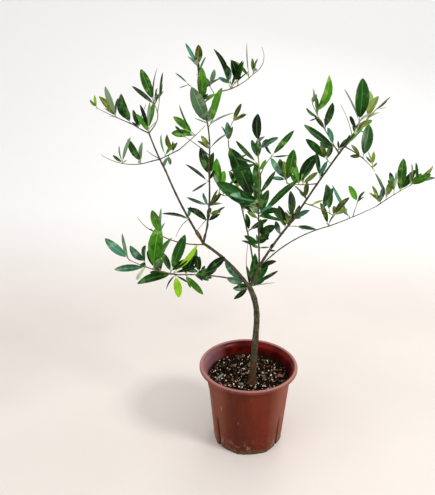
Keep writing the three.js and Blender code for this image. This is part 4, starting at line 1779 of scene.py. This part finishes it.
    def _press(self, pot: Piece) -> None:
        """Presses the flats and flutes in, and gives the plastic a slight unevenness."""
        points = coordinates(pot) / MM
        radii = np.hypot(points[:, 0], points[:, 1])
        angles = np.degrees(np.arctan2(points[:, 0], -points[:, 1]))
        angles += self.flutes[0] % (360 / self.columns)
        heights = points[:, 2]
        waves = self.uneven * np.sin(np.radians(angles * 5 + 40))
        waves = waves * smooth(heights / 60) * smooth((125 - heights) / 30)
        pressed = self.pressed_in(angles, heights) + waves + self.uneven
        pressed = np.where(radii > self.foot_radius / 2, pressed, 0)
        radii = np.maximum(radii - pressed * smooth((self.lip_foot - heights) / self.facet_fade[0]), 0)
        turns = np.radians(angles)
        moved = np.column_stack([np.sin(turns) * radii, -np.cos(turns) * radii, heights])
        set_coordinates(pot, moved * MM)

    def _drill(self, pot: Piece) -> None:
        """Cuts the drains through the corner of wall and floor."""
        width, reach, height = self.drain
        bpy.ops.object.select_all(action="DESELECT")
        cutters = []
        for drain in range(self.drains):
            turn = math.radians(self.drain_bearing + 360 / self.drains * drain)
            place = (math.sin(turn) * self.foot_radius * MM, -math.cos(turn) * self.foot_radius * MM, 0)
            bpy.ops.mesh.primitive_cube_add(size=1, location=place, rotation=(0, 0, turn))
            cutter = bpy.context.object
            cutter.scale = (width * MM, reach * MM, 2 * height * MM)
            cutters.append(cutter)
        for cutter in cutters:
            cutter.select_set(True)
        bpy.ops.object.join()
        cutter = opened("drain_cutter")
        bpy.ops.mesh.bevel(offset=self.drain_edge * MM, segments=2)
        bpy.ops.object.mode_set(mode="OBJECT")
        apply_modifier(pot, "BOOLEAN", operation="DIFFERENCE", object=cutter, solver="EXACT")
        bpy.data.objects.remove(cutter, do_unlink=True)

    def build(self) -> Piece:
        """Builds the pot and dresses its outside and inside."""
        pot = self._turn()
        self._press(pot)
        self._drill(pot)
        self._mark_flutes(pot)
        rim = (self.lip_foot * MM, self.height * MM)
        pot.data.materials.append(PotFinish().build(rim))
        pot.data.materials.append(PotInsideFinish().build((SOIL_TOP * MM, self.height * MM)))
        for face in pot.data.polygons:
            inward = face.normal.x * face.center.x + face.normal.y * face.center.y < 0
            inside = self.wall * MM < face.center.z < (self.height - self.worn_edge) * MM
            face.material_index = 1 if inward and inside and face.center.to_2d().length > 0.04 else 0
        select_alone(pot)
        bpy.ops.object.shade_smooth_by_angle(angle=math.radians(self.crease))
        return finish_piece(pot, "pot_plastic", "pot")


@dataclass(frozen=True)
class Grain:
    """One kind of loose bit on the soil, a rounded lump or a split chip.

    Attributes:
        name: The joined piece's name.
        finish: Its finish.
        count: How many lie there.
        size: Smallest and largest, in millimetres across.
        long: How much longer than wide it may be.
        flat: How much thinner than wide it may be.
        rough: How far its corners stray, as a share of its size.
        proud: How far it stands out of the bed, as a share of its size.
        angular: Whether it is a split chip and not a rounded lump.
        seed: Where its random draws start.
    """

    name: str
    finish: EarthFinish
    count: int
    size: Span
    long: float
    flat: float
    rough: float
    proud: float
    angular: bool
    seed: int


GRAINS = (
    Grain("peat_crumbs", PEAT, 3200, (0.9, 3.2), 1.7, 0.7, 0.3, 0.34, False, 3),
    Grain("loam_crumbs", LOAM, 900, (0.8, 2.8), 1.6, 0.7, 0.28, 0.4, False, 4),
    Grain("perlite", PERLITE, 620, (0.4, 2.8), 1.4, 0.8, 0.26, 0.45, False, 5),
    Grain("bark_chips", PINE_BARK, 150, (0.8, 3.4), 2.2, 0.45, 0.24, 0.4, True, 6),
)


@dataclass(frozen=True)
class Chip:
    """One large chip that lies on the soil, split at its ends and worn at its edges.

    Attributes:
        name: The piece's name.
        finish: Its finish.
        place: Its middle on the soil, in millimetres.
        size: Its length, width and thickness, in millimetres.
        turn: Its turn about each axis, in degrees.
    """

    name: str
    finish: EarthFinish
    place: Span
    size: Triple
    turn: Triple


CHIPS = (
    Chip("grey_chip", GRIT, (-44, -1), (17, 3.6, 1.6), (4, -3, 54)),
    Chip("slate_chip", SLATE, (-11, -24), (7, 4.4, 3), (30, 20, 60)),
    Chip("tan_chip", PINE_BARK, (50, -2), (9, 5, 1.6), (10, 6, -30)),
)
# Where the draws behind noise_vector start. Unseeded, a chip's relief is new in each run.
CHIP_SEED = 7


@dataclass(frozen=True)
class Soil:
    """The potting mix: an uneven bed of peat with all that lies on it. Sizes in millimetres.

    Attributes:
        pot: The pot that holds it.
        top: Height of its surface.
        depth: How far the modelled bed reaches down.
        gap: How far it has shrunk from the wall.
        ring: From one of its rings to the next.
        columns: Points round it.
        clod: How high its clods stand.
        roll_from: How far from the middle its rolls begin.
        roll: How high they stand.
        heap: Height and reach of the heap round the trunk.
        bank: Height and reach of the soil that clings to the wall.
        bare: How far round the trunk nothing is strewn.
    """

    pot: Pot
    top: float = SOIL_TOP
    depth: float = 9
    gap: float = 0.5
    ring: float = 1.5
    columns: int = 168
    clod: float = 1.0
    roll_from: float = 34
    roll: float = 1.5
    heap: Span = (1.3, 12)
    bank: Span = (1.4, 5)
    bare: float = 8

    @property
    def radius(self) -> float:
        """The bed's outer radius at its surface."""
        return self.pot.outside(self.top) - self.pot.wall - self.gap - 0.4

    def from_trunk(self, x: float, y: float) -> float:
        """How far a place is from the trunk's foot."""
        return math.hypot(x - TRUNK_FOOT[0], y - TRUNK_FOOT[1])

    def surface(self, x: float, y: float) -> float:
        """The bed's height at a place."""
        reach = math.hypot(x, y)
        angle = math.degrees(math.atan2(x, -y))
        share = min(max((reach - self.roll_from) / (self.radius - self.roll_from), 0), 1)
        roll = self.roll * math.sin(math.radians(3 * angle + 4 * reach)) * math.sin(math.pi * share)
        clods = noise.noise(Vector((x, y, 3)) / 7) + 0.6 * noise.noise(Vector((x, y, 9)) / 2.6)
        heap = self.heap[0] * math.exp(-(self.from_trunk(x, y) / self.heap[1]) ** 2)
        height, width = self.bank
        bank = height * smooth(np.array((reach - self.radius + width) / width))
        bank = bank * (0.6 + noise.noise(Vector((x, y, 0)) / 9))
        return self.top - 0.9 + roll + clods * self.clod + heap + float(bank)

    def _bed(self) -> Piece:
        """Draws the bed ring by ring from its underside up and in to the middle."""
        low = self.top - self.depth
        start = (self.pot.outside(low) - self.pot.wall - self.gap - 1.2) * MM
        bpy.ops.object.select_all(action="DESELECT")
        bpy.ops.mesh.primitive_circle_add(vertices=self.columns, radius=start, fill_type="NGON",
                                          location=(0, 0, low * MM))
        bed = opened("soil_bed")
        bpy.ops.mesh.extrude_region_move(TRANSFORM_OT_translate={"value": (0, 0, self.depth * MM)})
        widen(self.radius * MM / start)
        for _ in range(int(self.radius / self.ring) - 1):
            bpy.ops.mesh.inset(thickness=self.ring * MM)
        bpy.ops.mesh.merge(type="CENTER")
        close_outwards()
        points = coordinates(bed)
        for point in points:
            if point[2] > (self.top - 1) * MM:
                point[2] = self.surface(point[0] / MM, point[1] / MM) * MM
        set_coordinates(bed, points)
        bed.data.materials.append(PEAT.build())
        bpy.ops.object.shade_smooth_by_angle(angle=math.radians(60))
        return finish_piece(bed, "potting_mix", "soil")

    def _model(self, grain: Grain) -> tuple[Array, Faces]:
        """The shape that a kind of bit is varied from: a rounded lump or a split chip."""
        shape = bmesh.new()
        if grain.angular:
            bmesh.ops.create_cube(shape, size=1.0)
            bmesh.ops.bevel(shape, geom=shape.edges[:], offset=0.12, segments=1, affect="EDGES")
        else:
            bmesh.ops.create_icosphere(shape, subdivisions=1, radius=0.5)
        points = np.array([point.co for point in shape.verts])
        faces = [tuple(point.index for point in face.verts) for face in shape.faces]
        shape.free()
        return points, faces

    def _strew(self, grain: Grain) -> Piece:
        """Strews one kind of bit over the bed, each varied in size, shape and turn."""
        rng = np.random.default_rng(grain.seed)
        model, faces = self._model(grain)
        parts = Parts()
        while len(parts.points) < grain.count:
            size = lerp(*grain.size, rng.random() ** 2.2)
            reach = (self.radius - size * 0.45) * math.sqrt(rng.random())
            angle = rng.random() * 2 * math.pi
            x, y = math.cos(angle) * reach, math.sin(angle) * reach
            stretch = np.array([lerp(1, grain.long, rng.random()), 1, lerp(1, grain.flat, rng.random())])
            stray = 1 + grain.rough * rng.normal(size=(len(model), 1))
            tip, roll, turn = rng.normal(0, 0.5), rng.normal(0, 0.5), rng.random() * 2 * math.pi
            if self.from_trunk(x, y) < self.bare:
                continue
            tipped = Matrix.Rotation(turn, 3, "Z") @ Matrix.Rotation(tip, 3, "X")
            spin = np.array(tipped @ Matrix.Rotation(roll, 3, "Y"))
            shape = (model * stray * stretch * size) @ spin.T
            place = np.array([x, y, self.surface(x, y) + size * (grain.proud - 0.2)])
            parts.add((shape + place) * MM, faces)
        return finish_piece(parts.build(grain.name, [grain.finish.build()], 50), "potting_mix")

    def _chip(self, chip: Chip) -> Piece:
        """Shapes one large chip and lays it on the bed."""
        height = self.surface(*chip.place) + chip.size[2] * 0.5 + 0.5
        bpy.ops.object.select_all(action="DESELECT")
        bpy.ops.mesh.primitive_cube_add(size=1, location=[value * MM for value in (*chip.place, height)],
                                        rotation=[math.radians(angle) for angle in chip.turn])
        piece = opened(chip.name, [value * MM for value in chip.size])
        bpy.ops.mesh.bevel(offset=0.35 * MM, segments=1)
        bpy.ops.mesh.select_all(action="SELECT")
        bpy.ops.mesh.subdivide(number_cuts=3)
        bpy.ops.object.mode_set(mode="OBJECT")
        noise.seed_set(CHIP_SEED)
        points = coordinates(piece)
        for point in points:
            point += np.array(noise.noise_vector(Vector(point / MM / 2.2))) * 0.5 * MM
        set_coordinates(piece, points)
        piece.data.materials.append(chip.finish.build())
        bpy.ops.object.shade_smooth_by_angle(angle=math.radians(35))
        return finish_piece(piece, "potting_mix")

    def _root(self) -> Piece:
        """A pale surface root that curls round the trunk's foot."""
        points = []
        for turn in np.radians(np.linspace(-160, -20, 26)):
            reach = 9.5 + 1.6 * math.sin(turn * 3)
            x = TRUNK_FOOT[0] + math.cos(turn) * reach
            y = TRUNK_FOOT[1] + math.sin(turn) * reach * 0.8
            dip = 1.6 * abs(math.sin(turn * 1.5 + 0.4)) ** 3
            points.append((x, y, self.surface(x, y) + 0.9 - dip))
        radii = 0.75 - 0.35 * np.linspace(0, 1, len(points))
        parts = Parts()
        parts.add(*tube(np.array(points) * MM, radii * MM, 9))
        return finish_piece(parts.build("surface_root", [ROOT.build()], 50), "potting_mix")

    def build(self) -> list[Piece]:
        """Builds the bed and all that lies on it."""
        loose = (self._strew(grain) for grain in GRAINS)
        return [self._bed(), *loose, self._root(), *(self._chip(chip) for chip in CHIPS)]


# ---- Studio ----


@dataclass(frozen=True)
class Light:
    """A soft square light.

    Attributes:
        name: Its name.
        place: Where it hangs, in metres.
        aim: What it points at.
        size: Its side, in metres.
        power: Watts.
        tone: Its colour.
    """

    name: str
    place: Triple
    aim: Triple
    size: float
    power: float
    tone: Triple

    def hang(self) -> None:
        """Hangs the light."""
        lamp = bpy.data.lights.new(self.name, "AREA")
        lamp.size = self.size
        lamp.energy = self.power
        lamp.color = self.tone
        holder = bpy.data.objects.new(self.name, lamp)
        holder.location = self.place
        holder.rotation_euler = (Vector(self.aim) - Vector(self.place)).to_track_quat("-Z", "Y").to_euler()
        bpy.context.scene.collection.objects.link(holder)


LIGHTS = (
    Light("key", (1.5, -1.0, 1.7), (0, 0, 0.3), 0.5, 30, (1.0, 0.98, 0.95)),
    Light("window", (-1.3, -1.2, 1.1), (0, 0, 0.3), 1.2, 5, (0.92, 0.96, 1.0)),
    Light("back", (0.5, 1.6, 1.5), (0, 0, 0.35), 1.0, 8, (1.0, 1.0, 1.0)),
)
AIR = (1.0, 0.995, 0.985, 1.0)
AIR_STRENGTH = 0.78
SENSOR_WIDTH = 36


@dataclass(frozen=True)
class Studio:
    """A plain pale floor that sweeps up behind, soft light and the camera.

    Attributes:
        floor_reach: From the middle to the floor's edges, in metres.
        sweep_from: How far behind the plant the floor starts to rise.
        sweep_radius: Radius of that rise.
        wall_height: Height of the wall that it turns into.
        camera_place: Where the camera stands.
        camera_pitch: Degrees from looking straight down.
        lens: Focal length, in millimetres.
    """

    floor_reach: float = 9.0
    sweep_from: float = 1.2
    sweep_radius: float = 1.4
    wall_height: float = 5.0
    camera_place: Triple = (-0.0474, -0.7704, 0.6207)
    camera_pitch: float = 68.72
    lens: float = 42.47

    def _floor(self) -> None:
        """A wide pale floor, drawn up behind in a smooth sweep."""
        bpy.ops.object.select_all(action="DESELECT")
        reach = self.floor_reach
        bpy.ops.mesh.primitive_plane_add(size=2 * reach, location=(0, self.sweep_from - reach, 0))
        floor = bpy.context.object
        floor.name = "studio_floor"
        bpy.ops.object.transform_apply(location=True, rotation=True, scale=True)
        select_alone(floor)
        bpy.ops.object.mode_set(mode="EDIT")
        bpy.ops.mesh.select_all(action="DESELECT")
        shape = bmesh.from_edit_mesh(floor.data)
        for edge in shape.edges:
            edge.select = all(point.co.y > self.sweep_from - 0.01 for point in edge.verts)
        bmesh.update_edit_mesh(floor.data)
        turns = np.radians(np.linspace(0, 90, 25))
        radius = self.sweep_radius
        rises = [(math.sin(turn) * radius, (1 - math.cos(turn)) * radius) for turn in turns]
        rises.append((radius, self.wall_height))
        for (back, low), (after, high) in zip(rises, rises[1:]):
            bpy.ops.mesh.extrude_edges_move(TRANSFORM_OT_translate={"value": (0, after - back, high - low)})
        close_outwards()
        bpy.ops.object.shade_smooth()
        paint = Shader("pale floor", 0.75)
        tone = paint.mix(paint.fade(paint.noise(3, 3), 0.3, 0.7), "ded6d0", "e4dcd6")
        paint.base = paint.mix(paint.fade(paint.axis("Y"), 0.3, 1.3), tone, "f7f7f7")
        floor.data.materials.append(paint.done())

    def build(self) -> None:
        """Lays the floor, hangs the lights and sets the camera up."""
        self._floor()
        world = bpy.data.worlds.new("studio air")
        world.use_nodes = True
        sky = next(node for node in world.node_tree.nodes if node.type == "BACKGROUND")
        sky.inputs["Color"].default_value = AIR
        sky.inputs["Strength"].default_value = AIR_STRENGTH
        scene = bpy.context.scene
        scene.world = world
        scene.view_settings.view_transform = "Standard"
        for light in LIGHTS:
            light.hang()
        lens = bpy.data.cameras.new("camera")
        lens.sensor_width = SENSOR_WIDTH
        lens.lens = self.lens
        camera = bpy.data.objects.new("camera", lens)
        camera.location = self.camera_place
        camera.rotation_euler = (math.radians(self.camera_pitch), 0, 0)
        scene.collection.objects.link(camera)
        scene.camera = camera


# ---- Whole plant ----


def main() -> None:
    """Builds the whole plant in its pot, and the studio round it."""
    logging.basicConfig(level=logging.INFO, format="%(name)s: %(message)s")
    lines = grow_on({TRUNK: Line.grown(TRUNK_FOOT, TRUNK_STRETCHES)}, LIMBS + TWIGS)
    pot = Pot()
    pieces = [pot.build()]
    pieces += Soil(pot).build()
    pieces.append(Wood(lines).build())
    pieces += Foliage(lines).build()
    Studio().build()
    log.info("%d pieces in all", len(pieces))


if __name__ == "__main__":
    main()
